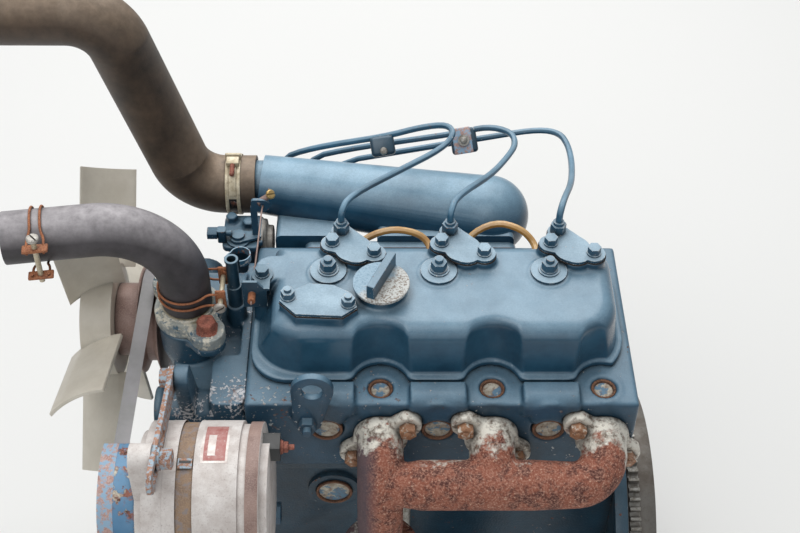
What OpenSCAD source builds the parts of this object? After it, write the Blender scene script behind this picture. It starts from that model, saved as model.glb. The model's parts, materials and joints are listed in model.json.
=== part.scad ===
// Three-cylinder diesel tractor engine, fully dressed. X runs along the crankshaft to the
// rear, Y to the intake side and Z up. The origin is the crankshaft centre on the
// machined rear face of the end plate.

/* [Block and head] */
// distance between two cylinder centres
pitch = 94; // [84:1:104]
// front face of the block ahead of the first cylinder
front_end = 71; // [64:1:80]
// rear face of the block behind the last cylinder
rear_end = 71; // [64:1:80]
// end plate thickness
plate_t = 12; // [8:1:18]
// half width of the upper block
block_half = 78; // [72:1:86]
// height of the head joint above the crankshaft
deck_z = 231; // [215:1:245]
// height of the cylinder head
head_h = 84; // [78:1:95]
// head side face on the exhaust side
head_near = 102; // [98:1:110]
// head side face on the intake side
head_far = 85; // [82:1:90]
// exhaust port behind its cylinder
port_shift = 42.5; // [38:0.5:47]
// underside of the oil pan below the crankshaft
sump_z = 170; // [168:1:190]
// thickness of the timing case
case_t = 38; // [30:1:50]
// bolt circle of the end plate
rear_pcd = 333.4; // [320:0.2:345]
// radius of the end plate bolt holes
rear_hole_r = 5.5; // [5:0.1:6]

/* [Rocker cover] */
// height of the top of the rocker cover above the head
cover_h = 55; // [45:1:58]
// flange thickness of the rocker cover
cover_flange = 6; // [4:1:9]
// taper of the cover's walls
cover_draft = 4; // [1:0.5:6]
// slope of the cover's front wall
front_draft = 15; // [8:1:18]
// rounding of the cover's top edge
cover_round = 16; // [10:1:18]
// radius of the scoops round the water gallery plugs
scoop_r = 24; // [21:1:27]
// rolled edge of a scoop
scoop_roll = 9; // [6:1:11]
// height of the small cover plates above the head
plate_z = 62; // [60:1:66]
// thickness of the small cover plates
lid_t = 3.5; // [2.5:0.5:6]
// diameter of the oil filler cap
cap_d = 48; // [42:1:52]

/* [Belt drive] */
// belt plane ahead of the timing case
belt_ahead = 54; // [50:1:60]
// pitch radius of the crankshaft pulley
crank_r = 62; // [50:1:66]
// pitch radius of the fan pulley
fan_r = 43; // [38:1:50]
// pitch radius of the alternator pulley
alt_r = 38; // [34:1:40]
// fan and pump shaft, sideways from the crankshaft
fan_y = 25; // [15:1:32]
// fan and pump shaft, above the crankshaft
fan_z = 281; // [276:1:286]
// alternator shaft, sideways from the crankshaft
alt_y = 175; // [170:1:180]
// alternator shaft, above the crankshaft
alt_z = 287; // [282:1:292]
// belt width at its back
belt_w = 12.5; // [12:0.5:13]
// belt thickness
belt_t = 9; // [8:0.5:10]
// fan tip radius
tip_r = 146; // [125:1:147]
// number of fan blades
blades = 6; // [4:1:7]
// radius of the alternator housings
alt_body = 62; // [56:1:64]

/* [Hoses and manifolds] */
// outside diameter of the coolant hose
hose_d = 43; // [40:0.5:45]
// bore of the coolant hose
hose_bore = 35; // [32:0.5:36]
// middle radius of the coolant hose's bend
hose_br = 68; // [60:1:75]
// outside diameter of the air hose
air_d = 55; // [50:1:60]
// bore of the air hose
air_bore = 46; // [42:1:48]
// intake tube diameter
tube_d = 76; // [70:1:82]
// exhaust log diameter
log_d = 42; // [38:1:46]
// diameter of the exhaust necks
neck_d = 39; // [34:1:42]
// drop of the exhaust necks from the head, in degrees
fall = 30; // [20:1:40]
// diameter of the high-pressure lines
line_d = 6; // [5:0.5:7]
// diameter of the return hoses
return_d = 6.4; // [5:0.2:7]

/* [Flywheel] */
// radius over the ring gear teeth
gear_r = 146; // [140:1:150]
// teeth on the ring gear
teeth = 98; // [90:1:110]
// flywheel thickness
wheel_t = 28; // [24:1:32]
// bolt circle of the clutch cover
clutch_pcd = 250; // [240:1:255]

/* [Hidden] */
$fn = 64;
// clearance between curved faces that fit together
gap = 0.3;
// a straight leg is this much thinner than the bend it runs into
lap = 0.05;
// how far a piece runs into the wall that carries it
root = 2;
// main planes along the crankshaft, then across and up
rear_x = -plate_t;
cyl = [for (i = [0:2]) rear_x-rear_end-(2-i)*pitch];
front_x = cyl[0]-front_end;
case_x = front_x-case_t;
belt_x = case_x-belt_ahead;
block_len = rear_x-front_x;
head_z = deck_z+head_h;
cover_top = head_z+cover_h;
lid_z = head_z+plate_z;
rail_z = -45;
skirt = block_half+12;
port_x = [for (c = cyl) c+port_shift];
port_z = head_z-34;
plug_x = [for (c = cyl) c-3];
// starter beside the ring gear
start_a = 38;
start_out = gear_r+12.6;
start_y = start_out*cos(start_a);
start_z = start_out*sin(start_a);

blue = [0.20, 0.36, 0.46];
rust = [0.42, 0.24, 0.17];
steel = [0.55, 0.55, 0.53];
iron = [0.34, 0.31, 0.29];
rubber = [0.16, 0.15, 0.15];
cream = [0.86, 0.84, 0.77];
amber = [0.62, 0.38, 0.14];
alloy = [0.62, 0.61, 0.58];
dark = [0.09, 0.12, 0.14];

// round and hexagon bars along X, Y or Z, from one plane to another
module bar_x(x0, x1, r, y = 0, z = 0) translate([x0, y, z]) rotate([0, 90, 0]) cylinder(h = x1-x0, r = r);
module bar_y(y0, y1, r, x = 0, z = 0) translate([x, y0, z]) rotate([-90, 0, 0]) cylinder(h = y1-y0, r = r);
module bar_z(z0, z1, r, x = 0, y = 0) translate([x, y, z0]) cylinder(h = z1-z0, r = r);
function hex_r(af) = af/2/cos(30);
module hex_x(x0, x1, af, y = 0, z = 0)
  translate([x0, y, z]) rotate([0, 90, 0]) cylinder(h = x1-x0, r = hex_r(af), $fn = 6);
module hex_y(y0, y1, af, x = 0, z = 0)
  translate([x, y0, z]) rotate([-90, 0, 0]) cylinder(h = y1-y0, r = hex_r(af), $fn = 6);
module hex_z(z0, z1, af, x = 0, y = 0)
  translate([x, y, z0]) cylinder(h = z1-z0, r = hex_r(af), $fn = 6);

// outlines drawn in YZ, XZ and XY
module along_x(x0, x1) translate([x0, 0, 0]) rotate([90, 0, 90]) linear_extrude(height = x1-x0) children();
module along_y(y0, y1) translate([0, y1, 0]) rotate([90, 0, 0]) linear_extrude(height = y1-y0) children();
module along_z(z0, z1) translate([0, 0, z0]) linear_extrude(height = z1-z0) children();

// rounded rectangle from corner to corner
module pane(a0, a1, b0, b1, r) {
  translate([a0+r, b0]) square([a1-a0-2*r, b1-b0]);
  translate([a0, b0+r]) square([a1-a0, b1-b0-2*r]);
  for (a = [a0+r, a1-r], b = [b0+r, b1-r]) translate([a, b]) circle(r = r);
}
// rectangle with four corner radii: near front, near rear, far front, far rear
module pane4(a0, a1, b0, b1, r) {
  polygon([[a0+r[0], b0], [a1-r[1], b0], [a1, b0+r[1]], [a1, b1-r[3]],
    [a1-r[3], b1], [a0+r[2], b1], [a0, b1-r[2]], [a0, b0+r[0]]]);
  translate([a0+r[0], b0+r[0]]) circle(r = r[0]);
  translate([a1-r[1], b0+r[1]]) circle(r = r[1]);
  translate([a0+r[2], b1-r[2]]) circle(r = r[2]);
  translate([a1-r[3], b1-r[3]]) circle(r = r[3]);
}
// straight-sided strap between two rounded ends
module strap(p, q, r1, r2) {
  d = norm(q-p);
  a = atan2(q[1]-p[1], q[0]-p[0]);
  s = asin((r1-r2)/d);
  e = [cos(a+90-s), sin(a+90-s)];
  f = [cos(a-90+s), sin(a-90+s)];
  inset = 0.2;
  translate(p) circle(r = r1);
  translate(q) circle(r = r2);
  polygon([p+(r1-inset)*e, q+(r2-inset)*e, q+(r2-inset)*f, p+(r1-inset)*f]);
}
// part bends of a tube in the XZ, XY and YZ planes: centre, middle radius, tube radius, start and turn
module bend_xz(c, br, r, a0, a)
  translate([c[0], 0, c[1]]) rotate([90, 0, 0]) rotate([0, 0, a0])
    rotate_extrude(angle = a) translate([br, 0]) circle(r = r);
module bend_xy(c, br, r, a0, a)
  translate([c[0], c[1], 0]) rotate([0, 0, a0])
    rotate_extrude(angle = a) translate([br, 0]) circle(r = r);
module bend_yz(x, c, br, r, a0, a)
  translate([x, c[0], c[1]]) rotate([90, 0, 90]) rotate([0, 0, a0])
    rotate_extrude(angle = a) translate([br, 0]) circle(r = r);

// corner cutting, then a thin tube swept along the points
function unit(v) = v/norm(v);
function soften(p) = [p[0],
  for (i = [0:len(p)-2]) each [0.75*p[i]+0.25*p[i+1], 0.25*p[i]+0.75*p[i+1]],
  p[len(p)-1]];
function aim(p, i) = unit(p[min(i+1, len(p)-1)]-p[max(i-1, 0)]);
function square_on(u, t) = unit(u-(u*t)*t);
function ring_axes(p, i, u) = i == len(p) ? [] :
  concat([square_on(u, aim(p, i))], ring_axes(p, i+1, square_on(u, aim(p, i))));
module sweep(p, r, n = 8) {
  u = ring_axes(p, 0, [0.31, 0.83, 0.47]);
  rings = [for (i = [0:len(p)-1]) let (w = cross(aim(p, i), u[i]))
    for (k = [0:n-1]) p[i]+r*(cos(360*k/n)*u[i]+sin(360*k/n)*w)];
  skin = [for (i = [0:len(p)-2], k = [0:n-1]) let (a = i*n+k, b = i*n+(k+1)%n)
    each [[a, b, b+n], [a, b+n, a+n]]];
  first = [for (k = [0:n-1]) n-1-k];
  last = [for (k = [0:n-1]) (len(p)-1)*n+k];
  polyhedron(points = rings, faces = concat([first], [last], skin));
}

// bolt or nut standing on a face: washer, hexagon and the end of the stud
bolt_af = 10;
bolt_h = 6;
washer_t = 1.5;
module bolt_z(z, x, y, af = bolt_af, stud = 0) {
  bar_z(z, z+washer_t, 0.62*af, x, y);
  hex_z(z+washer_t, z+washer_t+0.6*af, af, x, y);
  if (stud > 0) bar_z(z+washer_t+0.6*af, z+washer_t+0.6*af+stud, 0.3*af, x, y);
}

// block: mounting pads, core plug seats and the seat of the oil filter
pad_x = [cyl[0]-4, cyl[0]-17];
pad_z = 12.5;
pad_half = 40;
pad_out = 24;
pad_bolt = [25, 18];
pad_hole_r = 5.1;
side_plug_r = 17;
side_plug_z = 165;
bearing_r = 27;
filter_at = [cyl[1]+27, 20];
filter_out = 26;
starter_r = 36;
module cylinder_block() color(blue) difference() {
  union() {
    along_x(front_x, rear_x) polygon([
      [-block_half, deck_z], [-block_half, 70], [-skirt, 40], [-skirt, rail_z],
      [skirt, rail_z], [skirt, 40], [block_half, 70], [block_half, deck_z]]);
    along_y(-head_near+8, -block_half+root) pane(front_x, rear_x, deck_z-16, deck_z, 4);
    along_y(-block_half-pad_out, -skirt+root) pane(pad_x[0]-pad_half, pad_x[0]+pad_half, -20, 45, 10);
    along_y(skirt-root, block_half+pad_out) pane(pad_x[1]-pad_half, pad_x[1]+pad_half, -20, 45, 10);
    for (x = cyl) bar_y(-block_half-5, -block_half+root, side_plug_r+7, x, side_plug_z);
    bar_y(-block_half-filter_out, -block_half+root, 34, filter_at[0], filter_at[1]);
    along_y(block_half-root, block_half+16) pane(rear_x-24, rear_x, 30, 150, 6);
  }
  bar_x(front_x-1, rear_x+1, bearing_r);
  for (x = cyl) bar_y(-block_half-6, -block_half-1, side_plug_r, x, side_plug_z);
  for (a = [-1, 1], b = [-1, 1]) {
    bar_y(-block_half-pad_out-1, -block_half-4, pad_hole_r, pad_x[0]+a*pad_bolt[0], pad_z+b*pad_bolt[1]);
    bar_y(block_half+4, block_half+pad_out+1, pad_hole_r, pad_x[1]+a*pad_bolt[0], pad_z+b*pad_bolt[1]);
  }
  bar_x(rear_x-30, rear_x+1, starter_r+8, start_y, start_z);
}

// pressed pan below its rail, with the drain plug on the near side
rail_t = 6;
drain_x = cyl[1]+57;
drain_z = -sump_z+36;
module oil_pan() color(blue) {
  along_z(rail_z-rail_t, rail_z) pane(front_x+2, rear_x, -skirt, skirt, 8);
  along_x(front_x+14, rear_x-12) polygon([
    [-block_half-2, rail_z-rail_t], [-block_half+10, -sump_z+12], [-block_half+22, -sump_z],
    [block_half-22, -sump_z], [block_half-10, -sump_z+12], [block_half+2, rail_z-rail_t]]);
  bar_y(-block_half-4, -block_half+20, 13, drain_x, drain_z);
  hex_y(-block_half-14, -block_half-4, 19, drain_x, drain_z);
  for (x = [front_x+30:50:rear_x-20], s = [-1, 1]) hex_z(rail_z-rail_t-6, rail_z-rail_t, 10, x, s*(skirt-6));
}

// timing case with the round cover of the pump drive and the seat of the governor
gov_z = 176;
drive = [block_half+20, 118];
bolt_y = block_half-6;
case_bolts = [[-bolt_y, 60], [-bolt_y, 130], [-bolt_y, 200], [0, 212], [bolt_y-2, 205],
  [drive[0]+46, 130], [drive[0]+20, 70], [-80, -30], [80, -30]];
module timing_case() color(blue) difference() {
  union() {
    along_x(case_x, front_x) {
      pane(-block_half-4, block_half+4, 40, deck_z-6, 14);
      circle(r = 92);
      pane(-88, 88, rail_z-4, 60, 10);
      translate(drive) circle(r = 52);
      pane(block_half+2, block_half+58, drive[1], gov_z, 5);
    }
    bar_x(case_x-10, case_x, 50);
    bar_x(case_x-6, case_x, 34, drive[0], drive[1]);
    for (p = case_bolts) hex_x(case_x-6, case_x, 12, p[0], p[1]);
  }
  bar_x(case_x-11, front_x+1, bearing_r);
}

// plate between block and clutch housing, flat below and with an ear for the starter
module rear_plate() color(blue) along_x(rear_x, 0) difference() {
  union() {
    intersection() {
      circle(r = rear_pcd/2+11.5);
      translate([-200, 2-sump_z]) square([400, 400]);
    }
    translate([start_y, start_z]) circle(r = 50);
  }
  circle(r = 62);
  for (i = [0:7]) rotate(22.5+45*i) translate([rear_pcd/2, 0]) circle(r = rear_hole_r);
  translate([start_y, start_z]) circle(r = starter_r-3);
}

// head: rounded humps over the near edge, water gallery plugs on top and on the side
hump_half = 24;
hump_r = 12;
hump_y = -head_near+8;
deck_plug_y = -84;
deck_plug_r = 11;
side_core_z = head_z-32.5;
side_core_r = 14;
eye_foot = [front_x+53, head_z-12];
// the two studs of an exhaust flange
lobe = 23;
lobe_up = 16;
lobe_down = 22;
module cylinder_head() color(blue) difference() {
  union() {
    along_y(-head_near, head_far) pane(front_x, rear_x, deck_z, head_z, 3);
    for (x = plug_x) {
      along_x(x-hump_half, x+hump_half) {
        translate([hump_y, head_z-4]) circle(r = hump_r);
        translate([hump_y, head_z-20]) square([11, 28]);
        translate([hump_y-hump_r, head_z-12]) square([14, 6]);
      }
      bar_y(hump_y-hump_r, -head_near+10, 17, x, head_z-12);
    }
    bar_y(-head_near-4, -head_near+10, 13, eye_foot[0], eye_foot[1]);
    for (x = port_x) bar_z(head_z-14, head_z+0.8, 16, x, deck_plug_y);
  }
  for (x = plug_x) bar_y(-head_near-5, -head_near+5, side_core_r, x, side_core_z);
  for (x = port_x) bar_z(head_z-4, head_z+1, deck_plug_r, x, deck_plug_y);
  for (x = port_x)
    bar_y(-head_near-8, -head_near, 12.3, x+(x == port_x[0] ? lobe : -lobe), port_z+lobe_up);
}

// dished core plugs, one row on the head's side, one on its deck and one on the block
module core_plugs() color(steel) {
  for (x = plug_x) difference() {
    bar_y(-head_near+1.5, -head_near+5, side_core_r-gap, x, side_core_z);
    bar_y(-head_near, -head_near+3.5, side_core_r-2.5, x, side_core_z);
  }
  for (x = port_x) difference() {
    bar_z(head_z-4, head_z-0.8, deck_plug_r-gap, x, deck_plug_y);
    bar_z(head_z-2.6, head_z, deck_plug_r-2.4, x, deck_plug_y);
  }
  for (x = cyl) difference() {
    bar_y(-block_half-4, -block_half-1, side_plug_r-gap, x, side_plug_z);
    bar_y(-block_half-5, -block_half-2.5, side_plug_r-3, x, side_plug_z);
  }
}

// rocker cover: a flange, a tapered loaf with rounded top edges, and scoops round the deck plugs
flange_x = [front_x+3, rear_x-7];
flange_near = -80;
flange_far = 46;
loaf_x = [flange_x[0]+3, flange_x[1]-6];
loaf_near = -74;
loaf_far = 40;
corner_r = 26;
big_corner_r = 44;
nut_at = [-2, -3];
cap_at = [cyl[0]+43, -26];
cap_lift = 8;
bracket_bolt = [front_x+13, -6];
tab_z = cover_top-1;
// octagonal plate near the front, and the pointed plate over each injector
front_at = [cyl[0]-11, -44];
lid_at = [19, 17];
lid_bolt = [18, -6];
line_at = [8.5, 38];
line_hole_r = 6;
module front_outline(g = 0) polygon([[-30-g, -1], [-22-g, 10+g], [-6, 19+g], [14, 17+g],
  [29+g, 8], [34+g, -8], [22, -18-g], [-16, -16-g]]);
module lid_outline(g = 0) {
  strap(-lid_bolt, lid_bolt, 10+g, 10+g);
  translate([3, -4]) circle(r = 13.5+g);
  strap(line_at-lid_at, [0, 0], 9+g, 16+g);
}
// distance along the wall from a scoop's centre to the centre of its rolled edge
function roll_span(r, wall) = sqrt(pow(r+scoop_roll-lap, 2)-pow(wall+scoop_roll-deck_plug_y, 2));
module scoop_wedge(x, side, r, wall) polygon([
  [x, deck_plug_y], [x+side*roll_span(r, wall), wall+scoop_roll],
  [x+side*roll_span(r, wall), wall-12], [x, wall-12]]);
module flange_scoop(x, ends) {
  translate([x, deck_plug_y]) circle(r = scoop_r);
  for (s = ends) difference() {
    scoop_wedge(x, s, scoop_r, flange_near);
    translate([x+s*roll_span(scoop_r, flange_near), flange_near+scoop_roll]) circle(r = scoop_roll);
  }
}
module loaf_scoop(x, ends) {
  r = scoop_r+3;
  h = cover_top-head_z-cover_flange;
  translate([x, deck_plug_y, head_z+cover_flange]) {
    cylinder(h = h+10, r = r);
    rotate_extrude() difference() {
      translate([r-1, h-scoop_roll]) square([scoop_roll+1, scoop_roll+10]);
      translate([r+scoop_roll, h-scoop_roll]) circle(r = scoop_roll);
    }
  }
  for (s = ends) difference() {
    along_z(head_z+cover_flange, cover_top+10) scoop_wedge(x, s, r, loaf_near);
    translate([x+s*roll_span(r, loaf_near), loaf_near+scoop_roll, head_z])
      dome(scoop_roll, cover_h, scoop_roll-0.2, 0);
  }
}
// upright post whose top edge is rounded
module dome(r, h, q, draft) rotate_extrude() {
  polygon([[0, 0], [r, 0], [r-draft, h-q], [0, h-q]]);
  square([r-draft-q, h]);
  intersection() {
    translate([r-draft-q, h-q]) circle(r = q);
    square([r, h]);
  }
}
// cross-section of the loaf, both sides tapered and rounded at the top
module loaf_section(a0, a1, draft = cover_draft) {
  low = cover_h-cover_round;
  in = draft+cover_round;
  polygon([[a0, 0], [a1, 0], [a1-draft, low], [a0+draft, low]]);
  translate([a0+in, low-1]) square([a1-a0-2*in, cover_round+1]);
  for (a = [a0+in, a1-in]) translate([a, low]) circle(r = cover_round);
}
module loaf() {
  near = loaf_near;
  far = loaf_far;
  along_x(loaf_x[0]+big_corner_r, loaf_x[1]-big_corner_r) loaf_section(near, far);
  along_x(loaf_x[0]+corner_r, loaf_x[0]+big_corner_r) loaf_section(far-80, far);
  along_y(near+big_corner_r, far-corner_r) loaf_section(loaf_x[0], loaf_x[1]);
  along_x(loaf_x[1]-big_corner_r, loaf_x[1]-corner_r) loaf_section(far-80, far);
  for (x = [loaf_x[0]+corner_r, loaf_x[1]-corner_r])
    translate([x, far-corner_r, 0]) dome(corner_r, cover_h, cover_round, cover_draft);
  for (x = [loaf_x[0]+big_corner_r, loaf_x[1]-big_corner_r])
    translate([x, near+big_corner_r, 0]) dome(big_corner_r, cover_h, cover_round, cover_draft);
}
module front_slope() along_y(flange_near-1, flange_far+1) difference() {
  translate([front_x, head_z+cover_flange]) square([60, cover_h]);
  translate([0, head_z]) loaf_section(loaf_x[0], loaf_x[0]+200, front_draft);
}
module rocker_cover() color(blue) difference() {
  union() {
    along_z(head_z, head_z+cover_flange) difference() {
      pane4(flange_x[0], flange_x[1], flange_near, flange_far, [32, 52, 20, 20]);
      flange_scoop(port_x[0], [-1, 1]);
      flange_scoop(port_x[1], [-1, 1]);
      flange_scoop(port_x[2], [-1]);
    }
    difference() {
      translate([0, 0, head_z]) loaf();
      front_slope();
    }
    along_z(head_z+cover_flange, lid_z) translate(front_at) front_outline(0.8);
    for (x = cyl) along_z(head_z+cover_flange, lid_z) translate([x+lid_at[0], lid_at[1]]) lid_outline(0.8);
    for (x = cyl) bar_z(cover_top-6, cover_top+1.5, 18, x+nut_at[0], nut_at[1]);
    bar_z(cover_top-10, cover_top+cap_lift, cap_d/2-4, cap_at[0], cap_at[1]);
    along_z(head_z+cover_flange, tab_z) {
      strap([front_x+20, 6], bracket_bolt, 14, 10);
      translate([front_x+20, -8]) square([20, 28]);
    }
  }
  loaf_scoop(port_x[0], [-1, 1]);
  loaf_scoop(port_x[1], [-1, 1]);
  loaf_scoop(port_x[2], [-1]);
  for (x = port_x) bar_z(head_z-1, cover_top, scoop_r, x, deck_plug_y);
  for (x = cyl) bar_z(cover_top+1.5, lid_z+1, 16.5, x+nut_at[0], nut_at[1]);
}
module front_lid() color(blue) {
  along_z(lid_z, lid_z+lid_t) translate(front_at) front_outline();
  for (p = [[-23, 3], [27, -5]])
    bolt_z(lid_z+lid_t, front_at[0]+p[0], front_at[1]+p[1], bolt_af, 3);
}
module injector_lids() color(blue) for (x = cyl) {
  difference() {
    along_z(lid_z, lid_z+lid_t) translate([x+lid_at[0], lid_at[1]]) lid_outline();
    bar_z(lid_z-1, lid_z+lid_t+1, line_hole_r, x+line_at[0], line_at[1]);
  }
  for (k = [-1, 1]) bolt_z(lid_z+lid_t, x+lid_at[0]+k*lid_bolt[0], lid_at[1]+k*lid_bolt[1]);
}
// union nuts of the high-pressure lines
line_nut_h = 9;
line_z = lid_z+lid_t+line_nut_h+3;
module line_nuts() color(blue) for (x = cyl) {
  bar_z(lid_z, lid_z+lid_t, line_hole_r-gap, x+line_at[0], line_at[1]);
  hex_z(lid_z+lid_t, lid_z+lid_t+line_nut_h, 12, x+line_at[0], line_at[1]);
  bar_z(lid_z+lid_t+line_nut_h, line_z, 4.6, x+line_at[0], line_at[1]);
}
module cover_nuts() color(blue) for (x = cyl) {
  bar_z(cover_top+1.5, cover_top+4, 15.5, x+nut_at[0], nut_at[1]);
  bar_z(cover_top+4, cover_top+5.5, 9, x+nut_at[0], nut_at[1]);
  bolt_z(cover_top+5.5, x+nut_at[0], nut_at[1], 12, 4);
}
// thin-rimmed cap with one tall fin as its grip
cap_t = 5;
fin_t = 7;
fin_h = 15;
fin_a = 66;
module filler_cap() color(iron) translate([cap_at[0], cap_at[1], cover_top+cap_lift]) {
  cylinder(h = 3, d = cap_d-4);
  translate([0, 0, 2]) cylinder(h = cap_t-2, d = cap_d);
  rotate([0, 0, fin_a]) translate([-cap_d/2+2, -fin_t/2, cap_t-1]) cube([cap_d-3, fin_t, fin_h+1]);
}

// high-pressure lines from the pump unions to the union nuts
pump_x = [front_x+42, front_x+66, front_x+90];
union_z = 196;
line_path = [
  [[cyl[0]+8.5, 38, line_z], [cyl[0]+8.5, 38, line_z+10], [cyl[0]+15, 54, line_z+14], [cyl[0]+61, 110, 388],
    [cyl[0]+99, 148, 380], [cyl[0]+111, 162, 386], [cyl[0]+105, 176, 386], [cyl[0]+81, 182, 378],
    [cyl[0]+45, 184, 364], [front_x+46, 196, 340], [front_x+12, 204, 318], [front_x+10, 200, 260],
    [pump_x[0]-4, 160, 216], [pump_x[0], 140, 206], [pump_x[0], 140, union_z]],
  [[cyl[1]+8.5, 38, line_z], [cyl[1]+8.5, 38, line_z+10], [cyl[1]+14, 54, line_z+14], [cyl[1]+47, 104, 386],
    [cyl[1]+65, 138, 378], [cyl[1]+75, 160, 376], [cyl[1]+71, 178, 376], [cyl[1]+49, 188, 374],
    [cyl[1]+23, 192, 362], [front_x+92, 202, 336], [front_x+36, 212, 312], [front_x+34, 206, 252],
    [pump_x[1]-4, 160, 216], [pump_x[1], 140, 206], [pump_x[1], 140, union_z]],
  [[cyl[2]+8.5, 38, line_z], [cyl[2]+8.5, 38, line_z+10], [cyl[2]+13, 52, line_z+14], [cyl[2]+25, 92, 388],
    [cyl[2]+31, 136, 374], [cyl[2]+31, 168, 368], [cyl[2]+25, 188, 366], [cyl[2]+7, 198, 362],
    [cyl[2]-29, 202, 352], [cyl[2]-117, 210, 326], [front_x+60, 220, 298], [front_x+56, 212, 246],
    [pump_x[2]-6, 160, 216], [pump_x[2], 140, 206], [pump_x[2], 140, union_z]]];
module injection_lines() color(blue) for (p = line_path) sweep(soften(soften(p)), line_d/2);

// in-line pump bolted to the block and driven from the timing case
pump_end = front_x+137;
module injection_pump() color(blue) {
  along_x(front_x+2, pump_end) {
    pane(block_half+18, block_half+90, 70, 170, 12);
    pane(block_half+28, block_half+82, 160, 184, 6);
  }
  bar_x(front_x, front_x+3, 38, drive[0]+20, drive[1]);
  for (x = pump_x) {
    bar_z(183, 190, 9, x, 140);
    hex_z(190, union_z, 14, x, 140);
  }
  bar_x(pump_end-1, pump_end+9, 26, 132, 112);
  along_y(block_half, block_half+19) pane(front_x+12, front_x+127, 80, 150, 8);
}
// intake manifold: a flange, two runners and a slightly tapered tube
flange_far_x = [front_x+40, cyl[1]+77];
tube_at = [152, 332];
tube_front = front_x;
tube_end = [cyl[1]+51, 134, 309];
tube_small = tube_d/2-10;
module intake_gasket() color(rust) along_y(head_far, head_far+2)
  pane(flange_far_x[0], flange_far_x[1], port_z-19, port_z+31, 8);
module intake_manifold() color(blue) {
  tube_start = [tube_front, tube_at[0], tube_at[1]];
  d = tube_end-tube_start;
  along_y(head_far+2, head_far+12) pane(flange_far_x[0]+2, flange_far_x[1]-2, port_z-17, port_z+29, 8);
  translate(tube_start) rotate([0, acos(d[2]/norm(d)), atan2(d[1], d[0])])
    cylinder(h = norm(d), r1 = tube_small, r2 = tube_d/2);
  bar_x(front_x-28, front_x+3, air_bore/2-gap, tube_at[0], tube_at[1]);
  translate(tube_end) sphere(r = tube_d/2+gap);
  along_y(head_far+11, 136) {
    pane(front_x+15, cyl[0]+7, port_z-13, port_z+37, 6);
    pane(cyl[1]-55, cyl[1]+73, port_z-13, port_z+37, 6);
  }
}
// air hose: cuff on the tube, a bend up, a leaning leg, a bend forward and a straight end
air_br = 44;
air_a = 74;
air_leg = 136.1;
air_cuff = 28.5;
air_end = 239;
module air_core(r, e) {
  p = [-air_cuff-air_br*sin(air_a), air_br*(1-cos(air_a))];
  q = [p[0]-air_leg*cos(air_a), p[1]+air_leg*sin(air_a)];
  m = [q[0]-air_br*sin(air_a), q[1]+air_br*(1-cos(air_a))];
  bar_x(-air_cuff-root, e, r-lap);
  bend_xz([-air_cuff, air_br], air_br, r, 270-air_a, air_a);
  translate([p[0], 0, p[1]]) rotate([0, air_a-90, 0]) bar_z(-root, air_leg+root, r-lap);
  bend_xz([m[0], m[1]-air_br], air_br, r, 90-air_a, air_a);
  bar_x(-air_end-e, m[0]+root, r-lap, 0, m[1]);
}
module air_hose() color(rubber) translate([front_x-4.5, tube_at[0], tube_at[1]]) difference() {
  air_core(air_d/2, 0);
  air_core(air_bore/2, 1);
}

// exhaust manifold: each port has a stud flange and a neck that bends down to the log;
// the front neck goes on down to the outlet flange
flange_t = 10;
neck_r = neck_d/2;
log_r = log_d/2;
neck_bend = 32;
neck_y = -head_near-6;
elbow = [neck_y-neck_bend*sin(fall), port_z-neck_bend*(1-cos(fall))];
log_out = 26;
outlet_bend = 44;
log_taper = 34;
fillet_r = neck_r-5;
outlet_y = neck_y-outlet_bend;
outlet_z = 169;
outlet_t = 12;
outlet_pcd = 80;
outlet_bore_r = 15;
outlet_hole_r = 5.5;
module stud_flange(x, s) along_y(-head_near-flange_t, -head_near) {
  translate([x, port_z]) strap([-s*lobe, lobe_up], [s*lobe, -lobe_down], 12, 12);
  translate([x, port_z-3]) circle(r = 23);
}
module outlet_flange() along_z(outlet_z, outlet_z+outlet_t) translate([port_x[0], outlet_y]) difference() {
  union() {
    circle(r = 34);
    for (a = [90, 210, 330]) strap([0, 0], outlet_pcd/2*[cos(a), sin(a)], 24, 12);
  }
  circle(r = outlet_bore_r);
  for (a = [90, 210, 330]) translate(outlet_pcd/2*[cos(a), sin(a)]) circle(r = outlet_hole_r);
}
module exhaust_manifold() color(rust) {
  for (x = port_x) stud_flange(x, x == port_x[0] ? -1 : 1);
  for (x = port_x) bar_y(neck_y, -head_near-1, neck_r-lap, x, port_z);
  for (x = [port_x[1], port_x[2]]) bend_yz(x, [neck_y, port_z-neck_bend], neck_bend, neck_r, 90, fall);
  bend_yz(port_x[0], [neck_y, port_z-outlet_bend], outlet_bend, neck_r, 90, 90);
  translate([0, elbow[0], elbow[1]]) rotate([fall, 0, 0]) {
    bar_y(-log_out, 1, neck_r-lap, port_x[1]);
    for (s = [-1, 1]) bend_xy([port_x[1]+s*log_out, 0], log_out, fillet_r, s < 0 ? 270 : 180, 90);
    bend_xy([port_x[2]-log_out, 0], log_out, neck_r+lap, 270, 90);
    translate([port_x[0], -log_out, 0]) rotate([0, 90, 0])
      cylinder(h = log_taper, r1 = neck_r-4, r2 = log_r);
    bar_x(port_x[0]+log_taper-1, port_x[2]-log_out-log_taper+1, log_r, -log_out);
    translate([port_x[2]-log_out-log_taper, -log_out, 0]) rotate([0, 90, 0])
      cylinder(h = log_taper+1, r1 = log_r, r2 = neck_r-lap);
  }
  bar_z(outlet_z+outlet_t-1, port_z-outlet_bend+1, neck_r-lap, port_x[0], outlet_y);
  outlet_flange();
}
module manifold_nuts() color(iron) for (x = port_x, k = [-1, 1]) {
  s = x == port_x[0] ? -1 : 1;
  nut_x = x-k*s*lobe;
  nut_z = port_z+(k > 0 ? lobe_up : -lobe_down);
  hex_y(-head_near-17, -head_near-flange_t, 12, nut_x, nut_z);
  bar_y(-head_near-(k > 0 ? 23 : 18.5), -head_near-17, 3.5, nut_x, nut_z);
}

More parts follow.
